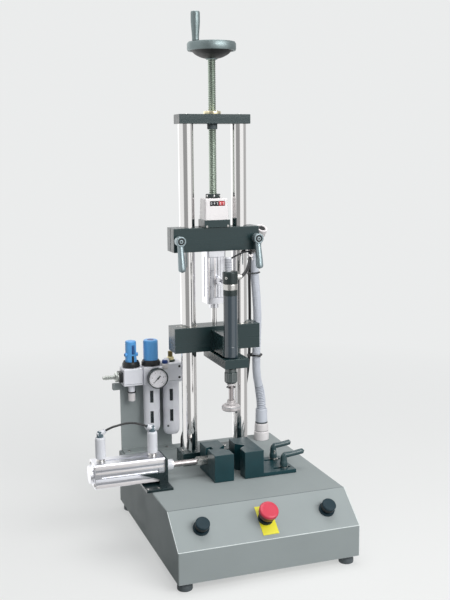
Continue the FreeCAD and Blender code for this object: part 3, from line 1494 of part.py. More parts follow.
os.makedirs("parts", exist_ok=True)
shapes = {name: make() for name, make in nodes.items()}
left_end = clamp_left - clamp_end_boss_length
rear_end = max(deck_depth, bracket_y + bracket_thickness)
origin_x = (left_end + half_width) / 2
origin_y = (rear_end - slope_run) / 2
origin_z = floor_z - foot_height
for name, shape in shapes.items():
    shape.translate(V(-origin_x, -origin_y, -origin_z))
    shape.exportStep("parts/" + name + ".step")
whole = group(list(shapes.values())).BoundBox
print(len(shapes), "nodes, box", [round(v, 2) for v in (whole.XMin, whole.XMax, whole.YMin, whole.YMax,
                                                       whole.ZMin, whole.ZMax)])
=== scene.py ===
import bmesh
import bpy
import math
from mathutils import Matrix, Vector


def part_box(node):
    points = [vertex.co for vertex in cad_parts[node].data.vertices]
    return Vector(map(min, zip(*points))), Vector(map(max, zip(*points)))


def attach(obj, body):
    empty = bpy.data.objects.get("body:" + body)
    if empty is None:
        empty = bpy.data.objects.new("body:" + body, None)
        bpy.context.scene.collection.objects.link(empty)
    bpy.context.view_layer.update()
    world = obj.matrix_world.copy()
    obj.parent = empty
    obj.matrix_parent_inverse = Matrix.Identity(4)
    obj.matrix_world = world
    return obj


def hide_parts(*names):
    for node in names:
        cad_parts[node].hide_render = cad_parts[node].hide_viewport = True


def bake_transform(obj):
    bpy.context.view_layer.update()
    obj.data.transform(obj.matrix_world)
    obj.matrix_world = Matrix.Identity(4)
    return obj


# Looks of the tabletop capping machine. Places are in millimetres from the middle between the
# two columns, on the deck's surface: x to the right, y to the back, z up. at() turns them into
# the frame's metres, so each piece sits where the frame's columns are.

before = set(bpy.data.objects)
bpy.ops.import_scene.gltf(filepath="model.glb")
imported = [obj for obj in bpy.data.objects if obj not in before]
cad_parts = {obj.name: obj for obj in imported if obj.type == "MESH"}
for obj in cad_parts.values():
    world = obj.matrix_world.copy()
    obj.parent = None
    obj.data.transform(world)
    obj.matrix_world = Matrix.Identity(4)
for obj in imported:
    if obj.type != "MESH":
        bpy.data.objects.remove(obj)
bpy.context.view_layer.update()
columns_low, columns_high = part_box("guide_columns")
middle = (columns_low + columns_high) / 2
deck_z = columns_low.z
MM = 0.001
UP, DOWN = (0, 0, 1), (0, 0, -1)
LEFT, RIGHT = (-1, 0, 0), (1, 0, 0)
FRONT, BACK = (0, -1, 0), (0, 1, 0)


def at(x, y, z):
    return Vector((middle.x + x * MM, middle.y + y * MM, deck_z + z * MM))


def local(point):
    return (point - at(0, 0, 0)) / MM


def local_box(node):
    """A node's lowest and highest corners in millimetres from the middle of the columns."""
    return [local(corner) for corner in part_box(node)]


def middle_of(node):
    return [(a + b) / 2 for a, b in zip(*local_box(node))]


# Places that several pieces share
AXLE = at(0, 0, 0)
HEAD_X, HEAD_Y = middle_of("driver_nut")[:2]
HEAD = at(HEAD_X, HEAD_Y, 0)
PLATE_TOP = local_box("support_plate")[1].z
DRIVER_BASE, DRIVER_HEAD = PLATE_TOP + 167, PLATE_TOP + 194
PORT_Z = (DRIVER_BASE + DRIVER_HEAD) / 2
SILENCER_TOP = local_box("driver_body")[1].z
CYLINDER_OFFSET, CYLINDER_LENGTH, CYLINDER_CAP = 8, 155, 14
CYLINDER_LEFT = local_box("clamp_cylinder")[0].x + CYLINDER_OFFSET
CYLINDER_RIGHT = CYLINDER_LEFT + CYLINDER_LENGTH
VALVE_LEFT_X, VALVE_RIGHT_X = CYLINDER_LEFT + 18.5, CYLINDER_RIGHT - 20.5
ELBOW_HEIGHT, ELBOW_RISE = 61.5, math.radians(25)
UNIT_Y = middle_of("shutoff_knob")[1]
OILER_TOP = local_box("filter_regulator")[0].z + 47
OUTLET_Z = 183.5
CONDUIT_X, CONDUIT_Y = 159.0, 104.0
RISER_X, RISER_Y = 103.0, 114.0
FEED_X, FEED_Y = -54.0, 96.0
RISER_UNION_X, RISER_UNION_Y = 94.0, 14.0
EXHAUST_UNION_X = 96.0
UNION_Y, UNION_RADIUS = -14.0, 4.5
SLOPE = Vector((0, -0.618, 0.786))
SLOPE_Y, SLOPE_Z = -313.5, -29.5


def on_slope(x):
    """A place on the middle line of the sloped control face."""
    return at(x, SLOPE_Y, SLOPE_Z)


# Materials
def srgb(colour, factor=1.0):
    """A colour given as 0 to 255 display values, as the linear values the shader takes."""
    linear = []
    for value in colour:
        share = value / 255
        level = share / 12.92 if share <= 0.04045 else ((share + 0.055) / 1.055) ** 2.4
        linear.append(min(1.0, level * factor))
    return (*linear, 1.0)


def set_inputs(tree, node, inputs):
    """Give a node's inputs their values, or link them to other nodes' outputs."""
    for name, value in inputs.items():
        if isinstance(value, bpy.types.NodeSocket):
            tree.links.new(value, node.inputs[name])
        else:
            node.inputs[name].default_value = value


def output_of(tree, kind, output, inputs=None, **settings):
    """One output of a new shader node with these settings and inputs."""
    node = tree.nodes.new("ShaderNode" + kind)
    for name, value in settings.items():
        setattr(node, name, value)
    set_inputs(tree, node, inputs or {})
    return node.outputs[output]


def noise_value(tree, scale, stretch=(1, 1, 1), detail=4.0):
    """Noise over the piece's own place, stretched along an axis for a brushed grain."""
    place = output_of(tree, "TexCoord", "Object")
    place = output_of(tree, "Mapping", "Vector", {"Scale": stretch, "Vector": place})
    return output_of(tree, "TexNoise", "Fac", {"Scale": scale, "Detail": detail, "Vector": place})


def ranged(tree, value, low, high, start=0.3, end=0.7):
    return output_of(tree, "MapRange", "Result", {"From Min": start, "From Max": end, "To Min": low,
                                                  "To Max": high, "Value": value})


def mixed(tree, factor, first, second):
    return output_of(tree, "Mix", "Result", {"Factor": factor, "A": first, "B": second}, data_type="RGBA")


def mixed_shader(tree, factor, first, second):
    return output_of(tree, "MixShader", "Shader", {"Fac": factor, 1: first, 2: second})


def dot_product(tree, first, second):
    return output_of(tree, "VectorMath", "Value", {0: first, 1: second}, operation="DOT_PRODUCT")


def edge_highlight_mask(tree, width=0.0009):
    """1 along the piece's outer edges, 0 on its faces: where a surface paints its lighter highlight."""
    rounded = output_of(tree, "Bevel", "Normal", {"Radius": width}, samples=6)
    flat = output_of(tree, "NewGeometry", "Normal")
    return ranged(tree, dot_product(tree, rounded, flat), 1.0, 0.0, 0.72, 0.97)


def new_material(name):
    material = bpy.data.materials.new(name)
    material.use_nodes = True
    return material, material.node_tree, material.node_tree.nodes["Principled BSDF"]


surfaces = {}


def surface(name, colour, roughness, mottle=0.05, metallic=0.0, scale=35.0, spread=0.06, grain=(1, 1, 1),
            bump=0.0, bump_scale=900.0, coat=0.0, edge=None, ior=1.5, gloss_level=0.5, alpha=1.0):
    """A surface with mottled colour, uneven gloss, a fine bump and, when a highlight colour is given, a painted
    highlight along its edges in that colour.
    """
    material, tree, shader = new_material(name)
    patches = ranged(tree, noise_value(tree, scale, grain), 0, 1)
    tint = mixed(tree, patches, srgb(colour, 1 - mottle), srgb(colour, 1 + mottle))
    # Painted highlight: the outer edges are mixed toward a lighter colour.
    if edge:
        tint = mixed(tree, edge_highlight_mask(tree), tint, srgb(edge))
    gloss = noise_value(tree, scale * 2.3, grain)
    gloss = ranged(tree, gloss, roughness - spread, roughness + spread)
    set_inputs(tree, shader, {"Metallic": metallic, "Coat Weight": coat, "Coat Roughness": 0.12, "IOR": ior,
                              "Specular IOR Level": gloss_level, "Alpha": alpha, "Base Color": tint,
                              "Roughness": gloss})
    if bump:
        fine = noise_value(tree, bump_scale, grain, 2.0)
        relief = output_of(tree, "Bump", "Normal", {"Strength": 0.35, "Distance": bump, "Height": fine})
        set_inputs(tree, shader, {"Normal": relief})
    surfaces[name] = material


along_x = (0.04, 1, 1)
along_z = (1, 1, 0.04)

# The lighter colours given for edges below are painted highlights along the pieces' edges.
surface("powder_coat", (155, 162, 162), 0.5, 0.025, scale=12.0, bump=0.00012, bump_scale=1500.0,
        edge=(210, 215, 214), gloss_level=0.03)
surface("zinc", (168, 172, 168), 0.38, 0.12, 0.9, scale=60.0)
surface("rubber", (84, 91, 94), 0.7, 0.1, bump=0.0002)
surface("slate_steel", (27, 50, 52), 0.28, spread=0.05, scale=30.0, grain=along_x, bump=0.00001,
        edge=(150, 166, 166))
surface("jaw_coat", (20, 58, 64), 0.34, 0.08, scale=45.0, bump=0.0001, edge=(80, 112, 112), ior=1.45)
surface("chrome", (232, 231, 230), 0.09, 0.015, 1.0, spread=0.02, grain=along_z)
surface("thread_steel", (156, 168, 156), 0.38, 0.06, 1.0, scale=90.0)
surface("brass", (232, 222, 188), 0.26, 0.05, 1.0, spread=0.05)
surface("bright_aluminium", (228, 229, 234), 0.3, 0.03, 1.0, spread=0.05, grain=along_x,
        edge=(250, 250, 250))
surface("black_steel", (20, 38, 41), 0.3, 0.12, bump=0.0001, edge=(90, 108, 108))
surface("pale_plastic", (224, 225, 230), 0.42, 0.03, bump=0.00006)
surface("tube_black", (24, 26, 29), 0.34, 0.08)
surface("bright_steel", (205, 204, 201), 0.24, 0.05, 1.0)
surface("shaft_steel", (176, 170, 170), 0.3, 0.05, 1.0, grain=along_z)
surface("disc_steel", (205, 200, 200), 0.4, 0.04, 0.5, bump=0.00008)
surface("bushing_steel", (178, 176, 168), 0.4, 0.08, 0.8)
surface("lavender_cast", (243, 243, 249), 0.44, 0.03, bump=0.00015, edge=(245, 245, 248))
surface("white_plastic", (232, 227, 227), 0.34, 0.015, bump=0.00004, coat=0.2)
surface("conduit_grey", (208, 212, 221), 0.42, 0.03)
# Next: painted shade in the conduit's grooves.
surface("conduit_groove", (138, 144, 156), 0.5, 0.03)
surface("button_black", (30, 50, 58), 0.5, gloss_level=0.25)
# Next: painted shade on the push buttons' sides, and the stop button's dark collar.
surface("button_side", (14, 20, 24), 0.45)
surface("stop_red", (206, 52, 76), 0.36, 0.03, coat=0.15)
# Next: the stop button's red, painted darker as shade on its sides.
surface("stop_side", (92, 30, 36), 0.45)
surface("stop_yellow", (230, 220, 36), 0.42, 0.02)
surface("module_grey", (92, 110, 118), 0.45, 0.06)
surface("knob_blue", (96, 174, 240), 0.38, 0.03, coat=0.15)
surface("knob_dark", (26, 62, 130), 0.4)
surface("black_plastic", (24, 28, 30), 0.4, 0.08)
surface("lever_green", (46, 72, 76), 0.3, 0.08, edge=(86, 116, 118), ior=1.6)
surface("lever_grey", (146, 160, 164), 0.4, 0.05, 0.7, bump=0.0001)
surface("wheel_metal", (130, 143, 144), 0.48, 0.04, 0.85, bump=0.00006)
surface("wheel_dark", (14, 18, 20), 0.5, 0.08, bump=0.0001)
surface("driver_steel", (46, 62, 72), 0.18, 0.06, spread=0.03, grain=along_z, ior=1.85)
surface("knurl_steel", (58, 72, 72), 0.22, 0.1, edge=(130, 144, 142), ior=2.0)
surface("dial_white", (250, 246, 250), 0.5, 0.01)
surface("ink_black", (22, 22, 26), 0.5, 0.02)
surface("ink_red", (205, 60, 66), 0.45, 0.02)
surface("ink_white", (240, 240, 242), 0.5, 0.01)
surface("seam_dark", (74, 84, 86), 0.6)
# Next: a grey for cap joints and thin dark lines on the cylinders, and painted shade in the silencer's grooves.
surface("groove_grey", (150, 152, 160), 0.5, 0.04)
# Next: near black for the spring clip and the levers' studs, and painted shade in screw sockets, a slot and
# recesses.
surface("slot_dark", (18, 21, 23), 0.6)
surface("ring_dark", (50, 60, 60), 0.3, 0.08, 0.3, edge=(130, 142, 138))
surface("plug_olive", (118, 104, 58), 0.36, 0.1, 0.5)
surface("plug_brass", (222, 210, 160), 0.34, 0.06, 0.8)
surface("plug_green", (38, 52, 34), 0.4, 0.08)
# Next two: painted shade and painted highlights for the cover's bends.
surface("seam_soft", (98, 106, 106), 0.6, 0.04)
surface("edge_light", (232, 238, 237), 0.4, 0.03)
surface("oil_clear", (58, 66, 70), 0.12, 0.02, spread=0.02, alpha=0.86)
surface("lens_clear", (235, 238, 240), 0.04, 0.02, spread=0.02, alpha=0.08)

node_surfaces = {
    "powder_coat": "cabinet_shell air_bracket",
    "zinc": "floor_pan fixing_screws column_beam",
    "rubber": "rubber_feet",
    "slate_steel": "column_base_bar top_crossbar clamp_crossbar indicator_base slide_crossbar nose_block"
                   " support_plate",
    "chrome": "guide_columns gauge_case lift_rod",
    "brass": "spindle_nut",
    "bright_aluminium": "clamp_cylinder lift_cylinder",
    "black_steel": "clamp_foot_bracket",
    "pale_plastic": "flow_valves",
    "tube_black": "clamp_tubes head_hoses",
    "bright_steel": "lever_studs air_inlet rod_coupler drive_shaft",
    "shaft_steel": "clamp_rod",
    "lavender_cast": "shutoff_valve filter_regulator lubricator bowl_guards",
    "oil_clear": "bowls",
    "white_plastic": "deck_glands indicator_housing conduit_clip",
    "conduit_grey": "service_lines",
    "button_black": "control_collars start_button_left start_button_right stop_stem",
    "stop_yellow": "stop_plate",
    "stop_red": "stop_head",
    "module_grey": "control_valves",
    "knob_blue": "shutoff_knob regulator_knob",
    "ink_black": "gauge_needle",
    "jaw_coat": "jaw_left jaw_right",
    "lever_green": "plate_lever_front plate_lever_rear",
    "lever_grey": "crossbar_lever_left crossbar_lever_right",
    "thread_steel": "spindle",
    "wheel_metal": "handwheel crank_handle",
    "bushing_steel": "slide_bushes",
    "driver_steel": "driver_body",
    "knurl_steel": "driver_nut",
    "disc_steel": "capping_disc",
}
for surface_name, node_names in node_surfaces.items():
    for node_name in node_names.split():
        node_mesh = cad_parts[node_name].data
        node_mesh.materials.clear()
        node_mesh.materials.append(surfaces[surface_name])


# Mesh building
def band(inner, outer, low, high):
    """The outline of a plain ring, or of a disc where inner is 0."""
    return [(inner, low), (outer, low), (outer, high), (inner, high)]


def soften(profile, radius, steps=3):
    """The outline with each inner corner rounded by up to this radius."""
    result = [profile[0]]
    for before, corner, after in zip(profile, profile[1:], profile[2:]):
        corner_v = Vector(corner)
        to_before = Vector(before) - corner_v
        to_after = Vector(after) - corner_v
        if to_before.length < 1e-9 or to_after.length < 1e-9:
            continue
        reach = min(radius, to_before.length * 0.45, to_after.length * 0.45)
        start = corner_v + to_before.normalized() * reach
        end = corner_v + to_after.normalized() * reach
        for i in range(steps + 1):
            t = i / steps
            result.append(tuple((1 - t) ** 2 * start + 2 * t * (1 - t) * corner_v + t ** 2 * end))
    result.append(profile[-1])
    return result


def ribs(count, depth, low=-math.inf, high=math.inf):
    """Fine ribs round a turned piece, between two heights."""
    return lambda angle, z: 1 + (depth * math.cos(count * angle) if low < z < high else 0)


def round_edges(builder, bevel):
    if bevel:
        bmesh.ops.bevel(builder, geom=list(builder.edges), offset=bevel * MM, segments=2, profile=0.5,
                        affect="EDGES")


class Piece:
    """Vertices and faces of one piece, gathered solid by solid in frame metres."""

    def __init__(self):
        self.points = []
        self.faces = []
        self.face_slots = []

    def add(self, points, faces, slot):
        """slot is one number for all faces, or a list with one for each."""
        first = len(self.points)
        self.points += [tuple(p) for p in points]
        self.faces += [tuple(first + i for i in face) for face in faces]
        self.face_slots += slot if isinstance(slot, list) else [slot] * len(faces)

    def stitch(self, points, rings, closed=False, slot=0):
        """Join rings of points with faces. slot is one number or one for each pair of rings."""
        faces = []
        slots = []
        pairs = list(zip(rings, rings[1:]))
        if closed:
            pairs.append((rings[-1], rings[0]))
        for pair, (lower, upper) in enumerate(pairs):
            for i in range(len(lower)):
                j = (i + 1) % len(lower)
                corners = list(dict.fromkeys((lower[i], lower[j], upper[j], upper[i])))
                if len(corners) > 2:
                    faces.append(corners)
                    slots.append(slot[pair] if isinstance(slot, list) else slot)
        self.add(points, faces, slots)

    def lathe(self, profile, place, soft=0.0, steps=3, axis=UP, segments=48, slot=0, closed=False, lobes=None):
        """Turn (radius, height) points in millimetres about an axis, with their corners rounded by
        soft. lobes changes the radius round the turn."""
        turn = Vector(UP).rotation_difference(Vector(axis))
        points = []
        rings = []
        for radius, height in soften(profile, soft, steps) if soft else profile:
            if radius < 1e-6:
                rings.append([len(points)] * segments)
                points.append(place + turn @ Vector((0, 0, height * MM)))
                continue
            rings.append(list(range(len(points), len(points) + segments)))
            for i in range(segments):
                angle = 2 * math.pi * i / segments
                r = radius * (lobes(angle, height) if lobes else 1.0)
                points.append(place + turn @ Vector((r * math.cos(angle), r * math.sin(angle), height)) * MM)
        self.stitch(points, rings, closed, slot)

    def screw(self, place, axis, radius, height, slot=0, dark=1):
        """Socket head screw: a rounded head with a dark hexagon in its middle, painted shade in place of the
        socket's hollow.
        """
        head = [(0, 0), (radius, 0), (radius, height * 0.8), (radius * 0.88, height), (0, height)]
        self.lathe(head, place, height * 0.2, axis=axis, segments=28, slot=slot)
        self.lathe(band(0, radius * 0.5, height, height + 0.08), place, axis=axis, segments=6, slot=dark)

    def from_bmesh(self, builder, slot=0):
        builder.verts.index_update()
        self.add([v.co.copy() for v in builder.verts],
                 [[v.index for v in face.verts] for face in builder.faces], slot)
        builder.free()

    def block(self, low, high, bevel=0.6, slot=0, turn=None):
        """A box between two corners in millimetres, with rounded edges, turned about its own middle."""
        size = Vector(high) - Vector(low)
        centre = (Vector(high) + Vector(low)) / 2
        builder = bmesh.new()
        bmesh.ops.create_cube(builder, size=1.0)
        for vertex in builder.verts:
            vertex.co = Vector((vertex.co.x * size.x, vertex.co.y * size.y, vertex.co.z * size.z)) * MM
        round_edges(builder, bevel)
        place = Matrix.Translation(at(*centre))
        if turn:
            place = place @ turn.to_4x4()
        bmesh.ops.transform(builder, matrix=place, verts=builder.verts)
        self.from_bmesh(builder, slot)

    def prism(self, outline, direction, bevel=0.0):
        """An outline of frame points pushed along a direction."""
        builder = bmesh.new()
        face = builder.faces.new([builder.verts.new(p) for p in outline])
        pushed = bmesh.ops.extrude_face_region(builder, geom=[face])
        moved = [g for g in pushed["geom"] if isinstance(g, bmesh.types.BMVert)]
        bmesh.ops.translate(builder, vec=direction, verts=moved)
        bmesh.ops.recalc_face_normals(builder, faces=builder.faces)
        round_edges(builder, bevel)
        self.from_bmesh(builder)

    def sweep(self, path, radius, segments=20, slot=0):
        """A round tube along a path. radius and slot may be functions of the distance along it."""
        frames = path_frames(path)
        points = []
        rings = []
        for centre, side, up, distance in frames:
            r = radius(distance) if callable(radius) else radius
            rings.append(list(range(len(points), len(points) + segments)))
            for i in range(segments):
                angle = 2 * math.pi * i / segments
                points.append(centre + (side * math.cos(angle) + up * math.sin(angle)) * r * MM)
        hubs = [[len(points)] * segments, [len(points) + 1] * segments]
        points += [path[0], path[-1]]
        if callable(slot):
            slot = [0] + [slot(distance) for _, _, _, distance in frames]
        self.stitch(points, [hubs[0]] + rings + [hubs[1]], False, slot)

    def text(self, words, size, place, slot, depth=0.15):
        """Raised figures that face the front, size in millimetres."""
        curve = bpy.data.curves.new("figures", "FONT")
        curve.body = words
        curve.size = size * MM
        curve.align_x = "CENTER"
        curve.align_y = "CENTER"
        curve.extrude = depth * MM
        curve.resolution_u = 4
        flat = mesh_of(curve)
        upright = Matrix.Translation(place) @ Matrix(((1, 0, 0), (0, 0, -1), (0, 1, 0))).to_4x4()
        self.add([upright @ v.co for v in flat.vertices], [list(p.vertices) for p in flat.polygons], slot)
        bpy.data.meshes.remove(flat)

    def make(self, name, materials, body=None, replaces=None, sharp=32.0):
        """The finished object, with its materials' names, its body and the node it replaces."""
        mesh = bpy.data.meshes.new(name)
        mesh.from_pydata(self.points, [], self.faces)
        mesh.validate()
        for material in materials.split():
            mesh.materials.append(surfaces[material])
        for polygon, index in zip(mesh.polygons, self.face_slots):
            polygon.material_index = index
        fixer = bmesh.new()
        fixer.from_mesh(mesh)
        bmesh.ops.recalc_face_normals(fixer, faces=fixer.faces)
        fixer.to_mesh(mesh)
        fixer.free()
        mesh.shade_smooth()
        mesh.set_sharp_from_angle(angle=math.radians(sharp))
        piece = new_object(name, mesh)
        if body:
            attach(piece, body)
        if replaces:
            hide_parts(replaces)
        return piece


def new_object(name, data):
    thing = bpy.data.objects.new(name, data)
    bpy.context.scene.collection.objects.link(thing)
    return thing


def mesh_of(curve):
    """A curve's mesh. The curve itself is removed."""
    holder = bpy.data.objects.new("holder", curve)
    mesh = bpy.data.meshes.new_from_object(holder)
    bpy.data.objects.remove(holder)
    bpy.data.curves.remove(curve)
    return mesh


def path_frames(path):
    """Points along a path with a side and an up direction that don't twist, and the distance so far."""
    frames = []
    tangent = (path[1] - path[0]).normalized()
    side = tangent.orthogonal().normalized()
    distance = 0.0
    for i, point in enumerate(path):
        new_tangent = (path[min(i + 1, len(path) - 1)] - path[max(i - 1, 0)]).normalized()
        side = (tangent.rotation_difference(new_tangent) @ side).normalized()
        tangent = new_tangent
        if i:
            distance += (point - path[i - 1]).length / MM
        frames.append((point, side, tangent.cross(side).normalized(), distance))
    return frames


def spline_points(route, resolution):
    """The smooth line of a hose: a NURBS spline with the route's points as its control points."""
    curve = bpy.data.curves.new("route", "CURVE")
    curve.dimensions = "3D"
    curve.resolution_u = resolution
    spline = curve.splines.new("NURBS")
    spline.points.add(len(route) - 1)
    for point, place in zip(spline.points, route):
        point.co = (*place, 1.0)
    spline.order_u = 3
    spline.use_endpoint_u = True
    line = mesh_of(curve)
    points = [v.co.copy() for v in line.vertices]
    bpy.data.meshes.remove(line)
    return points


def line_length(points):
    return sum((b - a).length for a, b in zip(points, points[1:]))


# Spindle, handwheel and crank
def make_spindle():
    low, high = local_box("spindle")
    pitch, outer, root = 4.0, 9.0, 7.6
    segments = 32
    steps = int((high.z - low.z) / 0.8)
    points = []
    rings = []
    for i in range(steps + 1):
        z = low.z + (high.z - low.z) * i / steps
        rings.append(list(range(len(points), len(points) + segments)))
        for k in range(segments):
            share = (z / pitch - k / segments) % 1.0
            crest = min(1.0, max(0.0, 2.6 * abs(share - 0.5) - 0.15))
            radius = root + (outer - root) * crest
            angle = 2 * math.pi * k / segments
            points.append(at(radius * math.cos(angle), radius * math.sin(angle), z))
    piece = Piece()
    piece.stitch(points, rings)
    housing_low, housing_high = local_box("indicator_housing")
    bar_top = local_box("clamp_crossbar")[1].z
    top = housing_high.z
    piece.lathe(band(0, 13, bar_top - 22, bar_top - 12), AXLE)
    piece.lathe(band(9, 12, housing_low.z + 2.5, top), AXLE, 0.4, slot=1)
    piece.lathe([(9, top + 0.3), (16.2, top + 0.3), (16.2, top + 9), (11, top + 9.3), (9, top + 9.3)], AXLE, 1.2,
                segments=96, slot=1, lobes=ribs(24, 0.025))
    for turn in range(6):
        angle = math.radians(60 * turn + 20)
        piece.lathe(band(0, 2.2, 15.0, 17.0), at(0, 0, top + 5), 0.5, segments=16, slot=2,
                    axis=(math.cos(angle), math.sin(angle), 0))
    piece.make("spindle_thread", "thread_steel ring_dark chrome", "spindle_set", "spindle", sharp=38)


def make_handwheel():
    z = local_box("handwheel")[0].z
    grip_low, grip_high = local_box("crank_handle")
    grip = at(*middle_of("crank_handle")[:2], 0)
    rim = z + 19
    top = rim + 18.5
    hub = z + 28
    piece = Piece()
    piece.lathe([(47.5, rim + 0.5), (49, rim), (53, rim), (54.5, rim + 3), (54.5, top - 4), (52.5, top), (49, top),
                 (47, top - 2), (46.6, rim + 6)], AXLE, segments=96, closed=True)
    piece.lathe([(13, z + 2), (24, z + 4.5), (37, z + 11), (46.8, rim + 1.5), (47.2, rim + 6), (37, z + 17),
                 (24, z + 11), (13, z + 9)], AXLE, 5.0, 4, segments=96, closed=True, slot=1)
    piece.lathe([(9, z), (12.5, z), (13.5, z + 2), (13.5, hub - 3), (11.5, hub), (9, hub)], AXLE, 1.0, segments=64)
    piece.lathe(band(0, 9, hub - 4, hub - 1.6), AXLE, 0.8, slot=2)
    piece.lathe(band(0, 2.6, 12.5, 14.2), at(0, 0, z + 4.6), axis=(0.6, -0.8, 0), segments=6, slot=2)
    piece.lathe([(4, rim + 2), (8, rim + 2), (8, grip_low.z - 1.6), (6.5, grip_low.z - 0.4),
                 (4, grip_low.z - 0.4)], grip, 0.8, segments=40)
    piece.lathe(band(0, 4, grip_low.z - 1, grip_high.z - 8), grip, segments=24, slot=2)
    piece.make("handwheel_dished", "wheel_metal wheel_dark bright_steel", "spindle_set", "handwheel")


def make_crank_grip():
    low, high = local_box("crank_handle")
    x, y, _ = middle_of("crank_handle")
    height = high.z - low.z
    piece = Piece()
    piece.lathe([(4.2, 0), (7.4, 0), (7.9, 1.5), (7.7, 6), (8.3, 16), (9.6, 30), (10.2, 40), (10.2, height - 5),
                 (9.8, height - 1.5), (8.6, height), (4.4, height), (4.4, height - 1.2), (0, height - 1.2)],
                at(x, y, low.z), 2.0, 4)
    # Painted shade: a thin dark bar on the top stands in for a slot.
    piece.block((x - 3.4, y - 0.5, high.z - 1.3), (x + 3.4, y + 0.5, high.z - 1.0), 0, 1)
    piece.make("crank_grip", "wheel_metal slot_dark", "crank", "crank_handle", sharp=40)


def make_spindle_nut():
    low, high = [corner.z for corner in local_box("spindle_nut")]
    bar_low, bar_high = [corner.z for corner in local_box("top_crossbar")]
    piece = Piece()
    piece.lathe([(9.3, bar_high), (19.5, bar_high), (19.5, high - 1), (18.4, high), (9.3, high)], AXLE, 0.7,
                segments=72)
    piece.lathe([(9.3, bar_low), (11.5, bar_low), (11.5, low + 1), (10.6, low), (9.3, low)], AXLE, 0.6, slot=1)
    for turn in range(4):
        angle = math.radians(45 + 90 * turn)
        piece.screw(at(14.6 * math.cos(angle), 14.6 * math.sin(angle), high), UP, 2.1, 1.1, 2, 3)
    piece.make("spindle_nut_flange", "brass seam_dark bright_steel slot_dark", "base", "spindle_nut")


# Position indicator
def make_indicator_drums():
    low, high = local_box("indicator_housing")
    window_x, width, radius = 2.0, 6.9, 6.1
    y = low.y + 9.4
    z = high.z - 11.5
    piece = Piece()
    for i, figure in enumerate("04265"):
        x = window_x + (i - 2) * (width + 0.25)
        piece.lathe(band(0, radius, -width / 2, width / 2), at(x, y, z), 0.3, axis=RIGHT, segments=40,
                    slot=1 if i >= 3 else 0)
        piece.text(figure, 7.6, at(x, y - radius - 0.05, z), 2)
    piece.make("indicator_drums", "ink_black ink_red ink_white", "carriage")


# Clamping levers
def arm(reach, tip, shape):
    """A lever arm's radius by the distance along it: its shape, and a round end past the share tip."""
    def radius(distance):
        share = min(1.0, distance / reach)
        end = max(0.0, (share - tip) / (1 - tip))
        return max(0.3, shape(share) * math.sqrt(max(0.0, 1 - end ** 2)))
    return radius


def make_bar_lever(node, body):
    """Cast lever: a boss on the crossbar's front and an arm that hangs from it."""
    x = middle_of(node)[0]
    z = middle_of("clamp_crossbar")[2]
    front = local_box("clamp_crossbar")[0].y
    length, reach, count = 26.0, 70.0, 28
    lean = math.radians(12.0)
    hub = at(x, front, z)
    piece = Piece()
    piece.lathe([(0, 0.3), (8.6, 0.3), (9.4, 5), (11.5, 9), (11.5, length - 1.6), (10.6, length), (8.2, length),
                 (7.6, length - 1.2), (0, length - 1.2)], hub, 1.0, axis=FRONT, segments=56)
    # Painted shade: a dark disc on the floor of the boss's recess.
    piece.lathe(band(0, 7.4, length - 1.1, length - 0.9), hub, axis=FRONT, slot=2)
    piece.screw(at(x, front - length + 1.0, z), FRONT, 4.4, 0.9, 0, 2)
    path = []
    for i in range(count + 1):
        share = i / count
        sag = 0.6 * 2.2 * math.sin(math.pi * share)
        path.append(at(x, front - length * 0.55 - math.sin(lean) * reach * share - sag,
                       z - math.cos(lean) * reach * share))
    piece.sweep(path, arm(reach, 0.9, lambda share: 7.4 - 0.5 * math.sin(math.pi * min(1.0, share * 1.6))
                          + 1.3 * share ** 1.5), 28)
    piece.lathe(band(0, 4, 0, 39), hub, axis=BACK, segments=20, slot=2)
    piece.make(node + "_cast", "lever_grey bright_steel slot_dark", body, node, sharp=45)


def make_hand_lever(node, body, longer, higher):
    """Adjustable lever: a ribbed foot on its stud and an arm that bends out of the hub's top."""
    low, high = local_box(node)
    x = low.x + 8.5
    y = (low.y + high.y) / 2
    piece = Piece()
    piece.lathe([(0, 0), (7.4, 0), (8.4, 1.2), (8.5, 9), (7.9, 13), (0, 13)], at(x, y, low.z), 1.0, segments=72,
                lobes=ribs(18, 0.02, high=9))
    top = low.z + 27 + higher
    path = spline_points([at(x, y, low.z + 3), at(x, y, low.z + 12), at(x, y, top), at(x + 14, y, top - 1),
                          at(high.x - 5 + longer, y, high.z - 6 + higher)], 12)
    piece.sweep(path, arm(line_length(path) / MM, 0.92, lambda share: 8.2 - 2.2 * min(1.0, share / 0.55)
                          + 0.5 * max(0.0, share - 0.55)), 28)
    piece.make(node + "_moulded", "lever_green", body, node, sharp=50)


